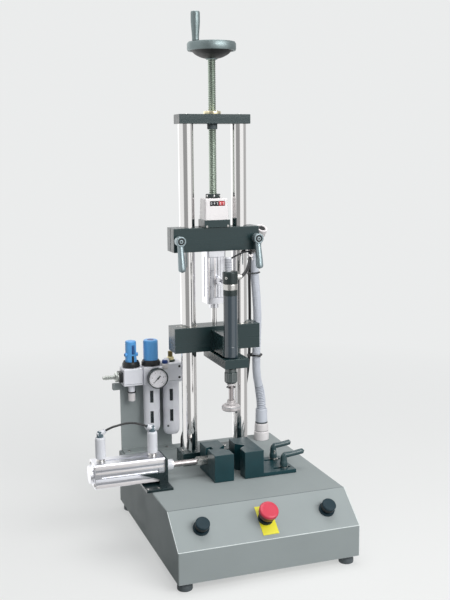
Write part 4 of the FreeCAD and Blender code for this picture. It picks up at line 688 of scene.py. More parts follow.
# Head
def make_driver():
    """The driver's body, band, collar and inlet head, with its silencer, shank, port and screws."""
    plate, base, head, top = PLATE_TOP, DRIVER_BASE, DRIVER_HEAD, SILENCER_TOP
    piece = Piece()
    piece.lathe([(0, plate + 0.2), (13.2, plate + 0.2), (15.5, plate + 3), (15.5, plate + 26), (15.0, plate + 26.8),
                 (15.5, plate + 27.6), (15.5, base - 26), (0, base - 26)], HEAD, 0.5, segments=72)
    piece.lathe(band(0, 15.9, base - 26, base - 14), HEAD, 0.6, segments=72, slot=1)
    piece.lathe([(0, base - 14), (15.4, base - 14), (16.4, base - 11), (16.4, base - 2), (15.4, base), (0, base)],
                HEAD, 0.8, segments=72, slot=2)
    piece.lathe([(0, base), (17, base), (17, head - 2), (15.4, head), (0, head)], HEAD, 0.8, segments=96, slot=1,
                lobes=lambda angle, z: 1 - 0.045 * max(0.0, math.cos(6 * angle)) ** 2)
    rib_count = 7
    pitch = (top - head - 6) / rib_count
    outline = [(0, head), (6.4, head), (6.4, head + 3)]
    for rib in range(rib_count):
        z = head + 3 + rib * pitch
        outline += [(8.4, z + 0.3), (8.5, z + pitch * 0.6), (7.3, z + pitch * 0.72), (7.3, z + pitch)]
    outline += [(7.6, top - 2), (6.0, top), (0, top)]
    # Painted shade: the grooves between the silencer's ribs take the darker grey of slot 5.
    piece.lathe(outline, at(HEAD_X - 4.5, HEAD_Y, 0), slot=[3, 3] + [3, 3, 5, 5] * rib_count + [3, 3, 3])
    plate_low = local_box("support_plate")[0].z
    piece.lathe(band(0, 10, 0, 22), at(HEAD_X, HEAD_Y, plate_low - 2), 0.6, slot=2)
    port = at(HEAD_X, HEAD_Y, PORT_Z)
    piece.lathe([(0, 16), (6.4, 16), (6.4, 22), (5.4, 22.6), (5.4, 26), (3.7, 26), (0, 26)], port, 0.4, axis=RIGHT,
                segments=32, slot=2)
    for angle in (-0.9, 1.2):
        direction = Vector((math.sin(angle), -math.cos(angle), 0))
        piece.screw(port + direction * 16.2 * MM, direction, 3.0, 0.9, 2, 4)
    piece.make("driver_turned", "driver_steel ring_dark bright_steel pale_plastic slot_dark groove_grey", "head",
               "driver_body")


def make_clutch_nut():
    low, high = local_box("driver_nut")
    height = high.z - low.z
    step = height - 9
    place = at(HEAD_X, HEAD_Y, low.z)
    piece = Piece()
    piece.lathe([(7.6, 0), (11.6, 0), (14.5, 3.4), (14.5, step - 1.2), (13.4, step), (7.6, step)], place, 1.2, 4,
                segments=144,
                lobes=lambda angle, z: 1 - (0.035 * (0.5 + 0.5 * math.cos(16 * angle)) ** 2 if z > 1 else 0))
    piece.lathe([(7.6, step), (12.6, step), (13.1, step + 1), (13.1, height - 1), (12.2, height), (7.6, height)],
                place, 0.6, segments=96)
    piece.make("clutch_nut", "knurl_steel", "head", "driver_nut", sharp=40)


def make_chuck():
    low, high = [corner.z for corner in local_box("capping_disc")]
    z = high - 23
    piece = Piece()
    piece.lathe([(0, z + 8), (9, z + 8), (9, z), (19.2, z), (21, z + 1.8), (21, z + 9), (19.6, z + 10),
                 (17, z + 13), (12, z + 14.6), (8.8, z + 16.4), (8.8, high - 0.8), (8.0, high), (6.6, high)],
                HEAD, 1.0, segments=96)
    piece.lathe([(20.6, z + 8.2), (21.15, z + 8.4), (21.15, z + 9), (20.6, z + 9.2)], HEAD, 0.2, segments=96,
                slot=1, closed=True)
    piece.lathe([(0, low), (2.2, low), (2.8, low + 1), (2.8, z + 2), (0, z + 2)], at(HEAD_X + 12, HEAD_Y, 0), 0.4,
                segments=24, slot=2)
    piece.lathe(band(0, 8.8, z + 7.4, z + 7.9), HEAD, slot=2)
    piece.make("capping_disc_turned", "disc_steel lever_grey rubber", "chuck", "capping_disc")


def make_drive_shaft():
    """The shaft with the washer and the spring clip under the nut."""
    top = local_box("drive_shaft")[1].z
    nut = local_box("driver_nut")[0].z
    disc = local_box("capping_disc")[1].z
    piece = Piece()
    piece.lathe([(0, disc - 12), (4.9, disc - 12), (4.9, disc + 2), (5.0, nut - 13), (6.4, nut - 12),
                 (6.5, nut - 1), (6.5, top), (0, top)], HEAD)
    piece.lathe(band(5, 8.6, nut - 5, nut - 1), HEAD, 0.5, slot=1)
    clip_radius = 9.4
    path = []
    for i in range(41):
        angle = math.radians(-60 + 300 * i / 40)
        path.append(at(HEAD_X + clip_radius * math.cos(angle), HEAD_Y + clip_radius * math.sin(angle), nut - 10))
    piece.sweep(path, 1.0, 10, 2)
    piece.make("drive_shaft_turned", "shaft_steel white_plastic slot_dark", "chuck", "drive_shaft")


# Clamp cylinder fittings
def make_flow_valves():
    base = local_box("flow_valves")[0].z
    y = middle_of("clamp_cylinder")[1]
    piece = Piece()
    for x, facing in ((VALVE_LEFT_X, 1), (VALVE_RIGHT_X, -1)):
        place = at(x, y, base)
        piece.lathe([(0, 0), (9.5, 0), (9.5, 3), (8, 4.2), (8, 6), (0, 6)], place, 0.5, slot=2)
        piece.lathe([(0, 6), (9.4, 6), (11, 8), (11, 51), (9.8, 54), (0, 54)], place, 1.2, 4, segments=64)
        piece.lathe([(11.05, 13), (11.35, 13.4), (11.35, 15.2), (11.05, 15.6)], place, segments=64)
        piece.lathe([(0, 54), (6.4, 54), (7, 54.6), (7, 62), (5.6, 63), (5.6, 67), (0, 67)], place, 0.6,
                    segments=96, slot=1, lobes=ribs(24, 0.03, high=62.5))
        direction = (facing * math.cos(ELBOW_RISE), 0, math.sin(ELBOW_RISE))
        elbow = at(x, y, base + ELBOW_HEIGHT)
        piece.lathe([(0, -5.5), (5.6, -5.5), (5.8, 2), (5.8, 8.6), (4.8, 9.4), (4.8, 10.4), (5.4, 11), (5.4, 13),
                     (2.2, 13), (0, 13)], elbow, 0.5, axis=direction, segments=40)
        piece.lathe(band(2.2, 4.4, 12.9, 13.6), elbow, axis=direction, segments=32, closed=True, slot=1)
    piece.make("flow_valve_bodies", "pale_plastic module_grey bright_steel", "base", "flow_valves")


def make_cylinder_trim():
    """Cap screws, joints between the caps and the barrel, and light strips of painted highlight with thin dark lines
    between them along the clamp cylinder's front.
    """
    low, high = local_box("clamp_cylinder")
    left, right = CYLINDER_LEFT, CYLINDER_RIGHT
    front, rear, bottom, top = low.y, high.y, low.z, high.z
    mid = (bottom + top) / 2
    piece = Piece()
    for y in (front + 8, rear - 8):
        for z in (bottom + 8, top - 8):
            piece.screw(at(left, y, z), LEFT, 3.8, 1.6)
            piece.screw(at(right, y, z), RIGHT, 3.8, 1.2)
    for x in (left + CYLINDER_CAP, right - CYLINDER_CAP):
        piece.block((x - 0.3, front - 0.15, bottom + 4), (x + 0.3, front + 0.6, top - 4), 0, 2)
        piece.block((x - 0.3, front + 4, top - 0.6), (x + 0.3, rear - 4, top + 0.15), 0, 2)
    # Painted highlights: light strips along the front, with thin dark lines between them.
    strips = ((bottom + 2.5, 7.5, 3), (bottom + 11.2, 1.5, 2), (bottom + 15.5, 7.0, 5), (mid - 3.6, 0.6, 2),
              (mid + 3.2, 0.6, 2), (mid + 6.0, 4.6, 3), (top - 14.0, 1.8, 2), (top - 10.5, 8.0, 3))
    for z, depth, finish in strips:
        piece.block((left + 1.5, front - 0.3, z), (right - 1.5, front + 0.3, z + depth), 0.1, finish)
    piece.lathe([(6.8, 0), (12.4, 0), (12.4, 17), (11, 19), (6.8, 19)], at(right + 5.4, (front + rear) / 2, mid),
                0.8, axis=RIGHT, segments=56, slot=4)
    piece.make("cylinder_trim", "bright_steel slot_dark groove_grey white_plastic pale_plastic lavender_cast",
               "base")


# Air unit
def make_knobs():
    low, high = local_box("regulator_knob")
    x, y, _ = middle_of("regulator_knob")
    height = high.z - low.z + 2
    place = at(x, y, low.z)
    knob = Piece()
    knob.lathe([(0, 0), (17, 0), (17.4, 3), (17.4, height - 3), (16.6, height - 0.6), (15, height), (0, height)],
               place, 1.2, 4, segments=144, lobes=ribs(24, 0.016, 4, height - 4))
    knob.lathe([(0, height), (8, height), (7.6, height + 0.25), (0, height + 0.25)], place, 0.1, slot=1)
    knob.make("regulator_knob_ribbed", "knob_blue knob_dark", "regulator", "regulator_knob", sharp=40)

    low, high = local_box("shutoff_knob")
    x, y, _ = middle_of("shutoff_knob")
    height = high.z - low.z + 4
    knob = Piece()
    knob.lathe([(0, 0), (13.9, 0), (14, 9), (13.2, 13), (13.2, height - 3), (12.4, height - 0.6), (10, height),
                (0, height)], at(x, y, low.z), 1.2, 4, segments=96)
    place = at(x, y, low.z + 20)
    for axis in ((-0.95, -0.3, 0.0), (0.95, -0.3, 0.0)):
        knob.lathe([(0, 9), (4.6, 9), (4.6, 16.4), (3.4, 17), (0, 17)], place, 0.6, axis=axis, segments=24)
        knob.lathe(band(0, 2.4, 16.5, 17.3), place, 0.2, axis=axis, segments=24, slot=1)
    turn = Matrix.Rotation(math.radians(-18), 3, "Z")
    facing = turn @ Vector(FRONT)
    across = turn @ Vector(RIGHT)
    spot = Vector((x, y, low.z + 33)) + facing * 12.4 + across * 4.4
    for offset in (-3.2, 0.6, 4.2):
        place = spot + across * offset - facing * abs(offset) * 0.35
        knob.block(place - Vector((1.3, 0.9, 11)), place + Vector((1.3, 0.9, 11)), 0.4, 1, turn)
    spot = spot - Vector((0, 0, 24)) + across * 1.5
    knob.block(spot - Vector((2.6, 1.6, 8)), spot + Vector((2.6, 1.6, 9)), 0.6, 2, turn)
    knob.make("shutoff_knob_moulded", "knob_blue knob_dark black_plastic", "shutoff", "shutoff_knob", sharp=40)


def make_unit_trim():
    """Lock rings under the knobs, sight dome and lens, filler plug, screws, silencer and body joints."""
    piece = Piece()
    for node, radius in (("shutoff_knob", 21.0), ("regulator_knob", 22.6)):
        x, y, _ = middle_of(node)
        piece.lathe([(radius - 1.5, -9.8), (radius, -9.8), (radius, -1.6), (radius - 3.0, 3.6), (18.2, 4.0),
                     (18.2, 0)], at(x, y, local_box(node)[0].z), 1.2, segments=144, lobes=ribs(36, 0.01, high=-2))
    corner = local_box("lubricator")[0]
    front = corner.y
    piece.lathe([(0, 0), (8.0, 0), (8.0, 5), (6.6, 8.2), (0, 8.2)], at(corner.x + 6.5, front + 8, OILER_TOP), 1.2,
                slot=1)
    piece.lathe([(0, -13.4), (6.4, -13.4), (8.2, -11), (8.2, -1), (0, -0.2)],
                at(corner.x + 5.1, front + 4.5, OILER_TOP), 1.4, slot=2)
    plug_x, plug_y = corner.x + 23.5, front + 22
    plug = at(plug_x, plug_y, OILER_TOP)
    piece.lathe([(0, 0.2), (11.5, 0.2), (11.5, 3.4), (9.6, 4.6), (0, 4.6)], plug, 0.7, slot=5)
    piece.lathe([(0, 4.6), (8.6, 4.6), (8.6, 10), (7.2, 12), (0, 12)], plug, 0.7, slot=6)
    piece.lathe(band(0, 5.8, 12, 25.2), plug, 0.7, slot=3)
    for drop in (9, 36):
        piece.lathe(band(0, 3.0, 0, 0.8), at(plug_x + 16, front, OILER_TOP - drop), 0.2, axis=FRONT, segments=24)
    guard_low = local_box("bowl_guards")[0].z
    piece.lathe([(0, 19.0), (2.6, 19.0), (2.6, 21.2), (2.0, 22), (0, 22)], at(plug_x, plug_y, guard_low + 22), 0.4,
                axis=(-0.62, -0.78, 0), segments=24, slot=4)
    pitch, silencer_z, joint_z = 49, 129.5, 174.4
    silencer = at(plug_x - 2 * pitch, UNIT_Y, silencer_z)
    piece.lathe([(0, 0), (8.2, 0), (8.4, 1.5), (8.4, 18.5), (0, 18.5)], silencer, 0.6, segments=40, slot=2)
    piece.lathe(band(0, 10.4, 20, 22.5), silencer, 0.4)
    for x in (plug_x - 2 * pitch, plug_x - pitch, plug_x):
        piece.block((x - 21, front - 0.2, joint_z), (x + 21, front + 0.3, joint_z + 0.6), 0, 4)
    piece.make("unit_trim", "black_plastic knob_dark white_plastic plug_olive seam_dark plug_green plug_brass",
               "base")


def make_gauge():
    low, high = local_box("gauge_case")
    x, _, z = middle_of("gauge_case")
    front = low.y
    radius = (high.x - low.x) / 2
    centre = at(x, front, z)
    depth = 17
    piece = Piece()
    piece.lathe([(radius - 2.8, 2.4), (radius - 2.0, 0.2), (radius - 0.6, 0), (radius, 1.4), (radius, 15),
                 (radius - 2, depth), (0, depth)], centre, 0.8, 4, axis=BACK, segments=96)
    piece.lathe(band(0, radius - 1.6, 5.2, 5.5), centre, axis=BACK, segments=96, slot=1)
    piece.lathe([(radius - 2.6, 2.2), (radius - 1.9, 5.3)], centre, axis=BACK, segments=96)
    stem = local_box("filter_regulator")[0].y - front - depth + 0.4
    piece.lathe(band(0, 6, 0, stem), at(x, front + depth - 0.2, z), 0.3, axis=BACK, segments=32, slot=3)
    face_y = front + 5.15
    start, sweep, marks = -135, 270, 50
    for i in range(marks + 1):
        angle = math.radians(start + sweep * i / marks)
        half, tall, reach = (0.28, 1.7, radius - 5.3) if i % 10 == 0 else (0.14, 0.9, radius - 4.5)
        mark = Vector((x + math.sin(angle) * reach, face_y, z + math.cos(angle) * reach))
        piece.block((mark.x - half, face_y - 0.12, mark.z - tall), (mark.x + half, face_y + 0.02, mark.z + tall),
                    0, 2, Matrix.Rotation(angle, 3, "Y"))
    for i in range(6):
        angle = math.radians(start + sweep * i / 5)
        reach = radius - 10.2
        piece.text(str(2 * i), 4.4, at(x + math.sin(angle) * reach, face_y - 0.1, z + math.cos(angle) * reach), 2,
                   0.05)
    piece.lathe(band(0, 2.0, 1.4, 5.2), centre, 0.3, axis=BACK, segments=24, slot=2)
    piece.make("gauge_dial", "ring_dark dial_white ink_black bright_steel", "base", "gauge_case", sharp=40)

    glass = Piece()
    glass.lathe([(0, 0.9), (radius - 2.5, 1.3), (radius - 2.5, 1.8), (0, 1.5)], centre, axis=BACK, segments=96)
    glass.make("gauge_glass", "lens_clear", "base")

    pointer = Piece()
    angle = math.radians(start)
    along = Vector((math.sin(angle), 0, math.cos(angle)))
    across = Vector((along.z, 0, -along.x))
    hub = at(x, front + 3.4, z)
    outline = [(-8.5, -1.9), (-8.5, 1.9), (0, 1.3), (15.5, 0.25), (15.5, -0.25), (0, -1.3)]
    pointer.prism([hub + (along * a + across * b) * MM for a, b in outline], Vector((0, 0.5 * MM, 0)))
    pointer.lathe(band(0, 2.6, 0, 0.9), at(x, front + 2.9, z), 0.3, axis=BACK, segments=32)
    pointer.make("gauge_pointer", "ink_black", "needle", "gauge_needle")


def make_inlet():
    low, high = local_box("air_inlet")
    _, y, z = middle_of("air_inlet")
    nut = high.x - 9
    place = at(nut, y, z - 1)
    piece = Piece()
    piece.block((nut, y - 13, z - 13), (high.x + 3, y + 13, z + 11), 1.4)
    piece.lathe(band(0, 12.2, 0, 1.6), place, axis=LEFT, slot=1)
    piece.lathe([(0, 1.4), (11.6, 1.4), (12.4, 2.4), (12.4, 7.2), (11.4, 8), (0, 8)], place, 0.4, axis=LEFT,
                segments=6, slot=1)
    length = high.x - 12 - low.x
    step = (length - 14) / 4
    outline = [(0, 8), (6.4, 8), (6.4, 9.4)]
    for rib in range(4):
        start = 9.4 + rib * step
        outline += [(4.6, start), (4.6, start + 1.2), (5.9, start + 1.6), (4.7, start + step)]
    outline += [(4.4, length - 0.6), (3.6, length), (2.8, length), (2.8, length - 6), (0, length - 6)]
    piece.lathe(outline, place, axis=LEFT, segments=40, slot=1)
    piece.make("inlet_fitting", "black_plastic zinc", "base", "air_inlet", sharp=35)


# Glands, hoses and the conduit
def make_glands():
    place = at(CONDUIT_X, CONDUIT_Y, 0)
    piece = Piece()
    piece.lathe([(0, 0), (18.2, 0), (18.8, 1), (18.8, 20.5), (17.9, 22.4), (0, 22.4)], place, 0.9, 4, segments=96,
                lobes=ribs(24, 0.008, 2, 20))
    piece.lathe(band(0, 16.6, 22.3, 23.4), place, segments=64, slot=2)
    piece.lathe([(0, 23.4), (17.2, 23.4), (17.6, 25), (17.2, 40), (16.4, 43), (0, 43)], place, 1.2, 4, segments=96)
    piece.lathe(band(0, 15.4, 43, 46), place, segments=64, slot=2)
    piece.lathe([(12, 46), (14.6, 46), (15.2, 47.5), (14.6, 78), (13.6, 80), (12, 80)], place, 1.0, 4, segments=64,
                slot=1)
    for x, y in ((RISER_X, RISER_Y), (FEED_X, FEED_Y)):
        piece.lathe([(0, 0), (7, 0), (7, 1.6), (5.4, 4.6), (4.2, 5), (0, 5)], at(x, y, 0), 0.8, segments=40, slot=3)
    piece.make("deck_gland_fittings", "white_plastic conduit_grey seam_dark rubber", "base", "deck_glands")


def make_hose(name, route, radius, materials="tube_black",
              resolution=14, segments=20, sharp=50, slot=0):
    """A mesh tube along its route's own smooth line."""
    line = spline_points(route, resolution)
    piece = Piece()
    piece.sweep(line, radius, segments, slot)
    tube = piece.make(name, materials, sharp=sharp)
    return tube, line


def risen(bends, low, high):
    """Route points given as x, y behind the columns and the share of the rise between two heights."""
    return [at(x, y, low + share * (high - low)) for x, y, share in bends]


def point_at_height(line, height):
    return min(line, key=lambda point: abs(point.z - height))


def union_end(x, bar_z, distance):
    """A point on a hose's straight run into a union under the clamp crossbar."""
    approach = Vector((0.52, 0.854, 0))
    return at(*(Vector((x, UNION_Y, bar_z - 5)) - approach * (UNION_RADIUS + distance)))


def cable_tie(name, conduit_line, riser_line, z, thickness, tail=0.0):
    """A strap round the two lines, with its block beside the thin one and a cut end."""
    height = at(0, 0, z).z
    thick = point_at_height(conduit_line, height)
    thin = point_at_height(riser_line, height)
    across = (thin - thick).xy
    heading = math.atan2(across.y, across.x)
    thick_radius, thin_radius = 11.0 + thickness, 3.6 + thickness
    lean = math.acos((thick_radius - thin_radius) * MM / across.length)
    path = []
    for centre, radius, first, last, count in ((thick, thick_radius, lean, 2 * math.pi - lean, 30),
                                               (thin, thin_radius, -lean, lean, 14)):
        for i in range(count + 1):
            angle = heading + first + (last - first) * i / count
            path.append(Vector((centre.x + radius * math.cos(angle) * MM,
                                centre.y + radius * math.sin(angle) * MM, height)))
    path.append(path[0])
    piece = Piece()
    piece.sweep(path, thickness, 8)
    spot = local(thin) + Vector((-3.0, -thin_radius - 1.0, 0))
    piece.block((spot.x - 3.6, spot.y - 2.4, z - 3.8), (spot.x + 3.6, spot.y + 2.4, z + 3.8), 0.8)
    if tail:
        place = at(spot.x + 2, spot.y, z + 1)
        bends = ((0, 0, 0), (0.35 * tail, -7.0, 0.5), (0.75 * tail, -8.5, -1.5), (tail, -7.0, -5.0))
        piece.sweep(spline_points([place + Vector(bend) * MM for bend in bends], 8), 1.3, 8)
    tie = piece.make(name, "tube_black")
    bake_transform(tie)


def make_conduit():
    """The conduit and the riser hose from the deck to the clamp crossbar, and the ties round them."""
    bar_low, bar_high = local_box("clamp_crossbar")
    bar = bar_low.z
    conduit_bends = ((152, 98, 0.085), (139, 85, 0.18), (133.5, 75, 0.3), (132, 66, 0.43), (131, 58, 0.565),
                     (125.5, 52, 0.705), (118.5, 46, 0.835), (114.5, 40, 0.95))
    riser_bends = ((107, 104, 0.117), (112, 90, 0.24), (115, 78, 0.36), (114.5, 69, 0.49), (112, 61, 0.62),
                   (108.5, 53, 0.75), (101.5, 37, 0.855))
    coarse_pitch, fine_pitch = 5.0, 4.2

    def wave(distance, pitch):
        return 0.5 - 0.5 * math.cos(2 * math.pi * distance / pitch)

    def ribbed(distance):
        fade = min(1.0, max(0.0, (110 - distance) / 30))
        return (9.9 + fade * (0.7 + 1.3 * wave(distance, coarse_pitch))
                + (1 - fade) * 0.35 * wave(distance, fine_pitch))

    # Painted shade: the hollows of the ribs take the darker grey.
    def painted_groove_shade(distance):
        return 1 if distance < 104 and wave(distance, coarse_pitch) < 0.3 else 0

    straight_z = 96.0
    route = [at(CONDUIT_X, CONDUIT_Y, 46), at(CONDUIT_X, CONDUIT_Y, straight_z)]
    route += risen(conduit_bends, straight_z, bar)
    route += [at(bar_high.x + 19, 29, bar + 14), at(bar_high.x + 24, 20, bar + 42)]
    conduit, conduit_line = make_hose("conduit_corrugated", route, ribbed,
                                      "conduit_grey conduit_groove", 80, 28, 60, painted_groove_shade)
    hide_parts("service_lines")
    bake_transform(conduit)

    ring = Piece()
    axis = (0.12, -0.58, 0.8)
    place = at(bar_high.x + 21, 14, bar + 40)
    ring.lathe([(0, -8), (12.4, -8), (13.6, -6), (13.6, 6), (12.6, 7.4), (9.2, 7.4), (8.6, 5), (0, 5)], place, 0.8,
               axis=axis, segments=56)
    # Painted shade: a dark disc in the ring's mouth.
    ring.lathe(band(0, 8.4, 5.1, 5.4), place, axis=axis, segments=40, slot=1)
    ring.make("conduit_end_ring", "white_plastic slot_dark", "carriage")

    route = [at(RISER_X, RISER_Y, 5), at(RISER_X, RISER_Y, 44)] + risen(riser_bends, 44, bar - 10)
    route += [at(RISER_UNION_X, RISER_UNION_Y, bar - 30), at(RISER_UNION_X, RISER_UNION_Y, bar - 10)]
    riser, riser_line = make_hose("riser_hose", route, 3.5)
    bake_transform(riser)
    cable_tie("conduit_tie_upper", conduit_line, riser_line, 435, 1.5)
    cable_tie("conduit_tie_lower", conduit_line, riser_line, 227, 2.2, 26.0)


def make_head_hoses():
    """The inlet and exhaust hoses from the driver to the clamp crossbar, and the clip on the first."""
    bar_low, bar_high = local_box("clamp_crossbar")
    bar = bar_low.z
    port_x = HEAD_X + 26
    union_x = bar_high.x - 14
    route = [at(port_x, HEAD_Y, PORT_Z), at(port_x + 10, HEAD_Y + 1, PORT_Z + 8), at(48.5, -92, bar - 34),
             at(60, -74, bar - 20), at(71, -52, bar - 10), union_end(union_x, bar, 16), union_end(union_x, bar, 0)]
    inlet, inlet_line = make_hose("inlet_hose", route, 3.5)
    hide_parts("head_hoses")
    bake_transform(inlet)

    silencer = Vector((HEAD_X - 4.5, HEAD_Y, SILENCER_TOP - 5))
    leave = Vector((0.6, 0.8, 0))
    route = [at(*(silencer + leave * 8.5)), at(*(silencer + leave * 30.5)), at(38, -66, bar - 4), at(60, -52, bar),
             union_end(EXHAUST_UNION_X, bar, 20), union_end(EXHAUST_UNION_X, bar, 0)]
    exhaust, line = make_hose("exhaust_hose", route, 2.0)
    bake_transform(exhaust)

    place = local(point_at_height(inlet_line, at(0, 0, bar - 13).z))
    half = Vector((1.9, 5.2, 8))
    clip = Piece()
    for lean in (0.72, -0.62):
        clip.block(place - half, place + half, 1.0, 0, Matrix.Rotation(lean, 3, "Y"))
    clip.make("hose_clip", "white_plastic", "carriage")


def make_base_hoses():
    """The link tube between the flow valves and the feed hose from the air unit to the deck."""
    _, y, _ = middle_of("flow_valves")
    top = local_box("flow_valves")[0].z

    def elbow_tip(x, facing, distance):
        reach = distance + 13
        return at(x + facing * math.cos(ELBOW_RISE) * reach, y, top + ELBOW_HEIGHT + math.sin(ELBOW_RISE) * reach)

    route = [elbow_tip(VALVE_LEFT_X, 1, 0), elbow_tip(VALVE_LEFT_X, 1, 14), at(VALVE_LEFT_X + 40, y + 2, top + 75),
             at(VALVE_LEFT_X + 57, y + 3, top + 78), at(VALVE_LEFT_X + 74, y + 2, top + 77.5),
             elbow_tip(VALVE_RIGHT_X, -1, 14), elbow_tip(VALVE_RIGHT_X, -1, 0)]
    link, _ = make_hose("link_tube", route, 2.4)
    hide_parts("clamp_tubes")
    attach(link, "base")

    outlet = local_box("lubricator")[1].x
    y, z = UNIT_Y, OUTLET_Z
    route = [at(outlet, y, z), at(outlet + 11, y, z), at(outlet + 20, y - 1, z - 7), at(outlet + 24, y - 2, z - 21),
             at(outlet + 22, y - 4, z - 40), at(outlet + 18, y - 8, 118), at(outlet + 9, y - 13, 86),
             at(outlet, y - 19, 58), at(FEED_X + 1, FEED_Y + 0.5, 34), at(FEED_X, FEED_Y, 20), at(FEED_X, FEED_Y, 5)]
    feed, _ = make_hose("feed_hose", route, 3.5)
    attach(feed, "base")


# Controls on the slope
def make_buttons():
    """Round push buttons with a flat top and sides painted darker as shade, and the larger stop button, whose sides
    are painted a darker red as shade.
    """
    for side, x in (("left", -140), ("right", 140)):
        piece = Piece()
        # Slot 1 paints the buttons' sides darker as shade.
        piece.lathe([(0, -4), (8, -4), (8, 8.4), (13.6, 8.6), (14.4, 10), (15.2, 19), (14.6, 21.2)], on_slope(x),
                    0.8, 4, axis=SLOPE, segments=72, slot=1)
        cap = soften([(15.2, 19), (15.0, 21), (13.4, 22.6), (6, 23), (0, 23.2)], 1.6, 5)
        piece.lathe([(15.2, 18.6)] + cap, on_slope(x), axis=SLOPE, segments=72)
        node = "start_button_" + side
        piece.make(node + "_mushroom", "button_black button_side", "button_" + side, node, sharp=50)
    piece = Piece()
    # Slot 1 paints the stop head's sides a darker red as shade.
    piece.lathe([(0, 15), (15, 15), (17.4, 16.4), (19.6, 24), (20.4, 31)], on_slope(0), 1.0, 4, axis=SLOPE,
                segments=96, slot=1)
    piece.lathe([(20.4, 30.8), (20.6, 32), (20.4, 34.5), (18.9, 36.6), (15, 37.4), (7.5, 37.0), (0, 36.8)],
                on_slope(0), 1.4, 5, axis=SLOPE, segments=96)
    piece.make("stop_mushroom", "stop_red stop_side", "stop_cap", "stop_head", sharp=55)


def make_stop_plate():
    """The yellow plate under the stop button and the button's dark collar."""
    down = Vector((0, -0.786, -0.618))
    corners = [on_slope(2) + (Vector((side, 0, 0)) + down * fall + SLOPE * 0.2) * MM
               for side, fall in ((-17.5, -30), (17.5, -30), (17.5, 37), (-17.5, 37))]
    piece = Piece()
    piece.prism(corners, SLOPE * 0.9 * MM, 0.25)
    piece.lathe(band(9, 15.5, 0.4, 6.4)[:3] + [(13.6, 7.8), (9, 7.8), (9, 0.4)], on_slope(0), 0.7, axis=SLOPE,
                segments=72, slot=1)
    piece.make("stop_plate_sheet", "stop_yellow button_side", "base", "stop_plate")


def make_feet():
    low, high = local_box("rubber_feet")
    top = high.z - low.z - 0.2
    piece = Piece()
    for x in (low.x + 15, high.x - 15):
        for y in (low.y + 15, high.y - 15):
            piece.lathe([(0, 0), (14.6, 0), (15.9, 1.6), (15.9, 9), (14.2, 12.5), (14.2, top), (0, top)],
                        at(x, y, low.z), 1.2, segments=56)
    piece.make("rubber_feet_moulded", "rubber", "base", "rubber_feet")


# Fastenings, and the painted shade and highlights on the cover's bends
def make_painted_bend_lines():
    """Painted shade and highlights on the cover's bends: a dark strip of painted shade along the deck's front bend
    and light lines of painted highlight along the slope's edges.
    """
    low, high = local_box("cabinet_shell")
    half = (high.x - low.x) / 2
    deck_front, slope_foot = -276.0, -59.0
    piece = Piece()
    # Painted shade: a dark strip along the bend at the deck's front.
    piece.block((-half + 1.5, deck_front + 0.4, -0.4), (half - 1.5, deck_front + 2.2, 0.16), 0.05)
    left, right = -half + 0.7, half - 0.7
    front = low.y + 0.75
    bend = slope_foot + 0.35
    # Painted highlights: light beads along the slope's bends and down the front's right corner.
    runs = (((left, front, bend), (right, front, bend)), ((left, deck_front, -0.2), (left, front, bend)),
            ((right, deck_front, -0.2), (right, front, bend)),
            ((right, front, slope_foot), (right, front, low.z + 3)))
    for start, end in runs:
        piece.sweep([at(*start), (at(*start) + at(*end)) / 2, at(*end)], 0.69, 12, 1)
    piece.make("cover_bend_shade_and_highlights", "seam_soft edge_light", "base")


def make_screws(name, body, screws):
    """Screw heads, each given by its place, axis, radius and height."""
    piece = Piece()
    for place, axis, radius, height in screws:
        piece.screw(at(*place), axis, radius, height)
    piece.make(name, "bright_steel slot_dark", body)


def make_indicator_screws():
    low, high = local_box("indicator_base")
    make_screws("indicator_screws", "carriage", [((x, low.y, (low.z + high.z) / 2), FRONT, 2.4, 1.2)
                                                 for x in (low.x + 5.5, high.x - 5.5)])


def make_base_screws():
    low, high = local_box("column_base_bar")
    screws = [((x, 0, high.z), UP, 5.0, 1.4) for x in (low.x + 9, high.x - 9, -22, 22)]
    top = local_box("top_crossbar")[1].z
    screws += [((x, 0, top), UP, 7.0, 1.4) for x in (-62.5, 62.5)]
    low, high = local_box("air_bracket")
    screws += [((x, low.y + 12, 3), UP, 4.6, 1.6) for x in (low.x + 32, high.x - 20)]
    low, high = local_box("clamp_foot_bracket")
    screws += [((low.x + inset, y, 5), UP, 3.4, 1.4) for y in (low.y + 10, high.y - 10) for inset in (10, 34)]
    make_screws("base_screws", "base", screws)


def make_head_screws():
    low, high = local_box("support_plate")
    screws = [((x, high.y - inset, low.z), DOWN, 4.4, 1.4) for x in (low.x + 8, high.x - 8) for inset in (10, 38)]
    low, high = local_box("slide_crossbar")
    screws += [((x, 0, high.z), UP, 3.0, 0.8) for x in (low.x + 14, high.x - 14)]
    make_screws("head_screws", "head", screws)


def make_lift_trim():
    """Cap screws, cap joints, thin dark lines and light strips of painted highlight on the lift cylinder."""
    low, high = local_box("lift_cylinder")
    gland, cap = 12, 14
    bottom = low.z + gland
    stripe_low, stripe_high = bottom + cap + 1, high.z - cap - 1
    piece = Piece()
    for x in (-16, 16):
        for y in (-16, 16):
            piece.screw(at(x, y, bottom), DOWN, 3.2, 1.2)
    for z in (bottom + cap, high.z - cap):
        piece.block((-18, -22.8, z - 0.5), (18, -21.6, z + 0.5), 0, 2)
    # Thin dark lines down the front.
    for x in (-15.5, -9, 9, 15.5):
        piece.block((x - 0.4, -22.7, stripe_low), (x + 0.4, -21.8, stripe_high), 0, 2)
    # Painted highlights: light strips down the front.
    for x in (-20.5, -6.5, 18.0):
        piece.block((x, -22.75, stripe_low), (x + 3.6, -21.8, stripe_high), 0.1, 3)
    piece.make("lift_cylinder_trim", "bright_steel slot_dark groove_grey white_plastic", "carriage")


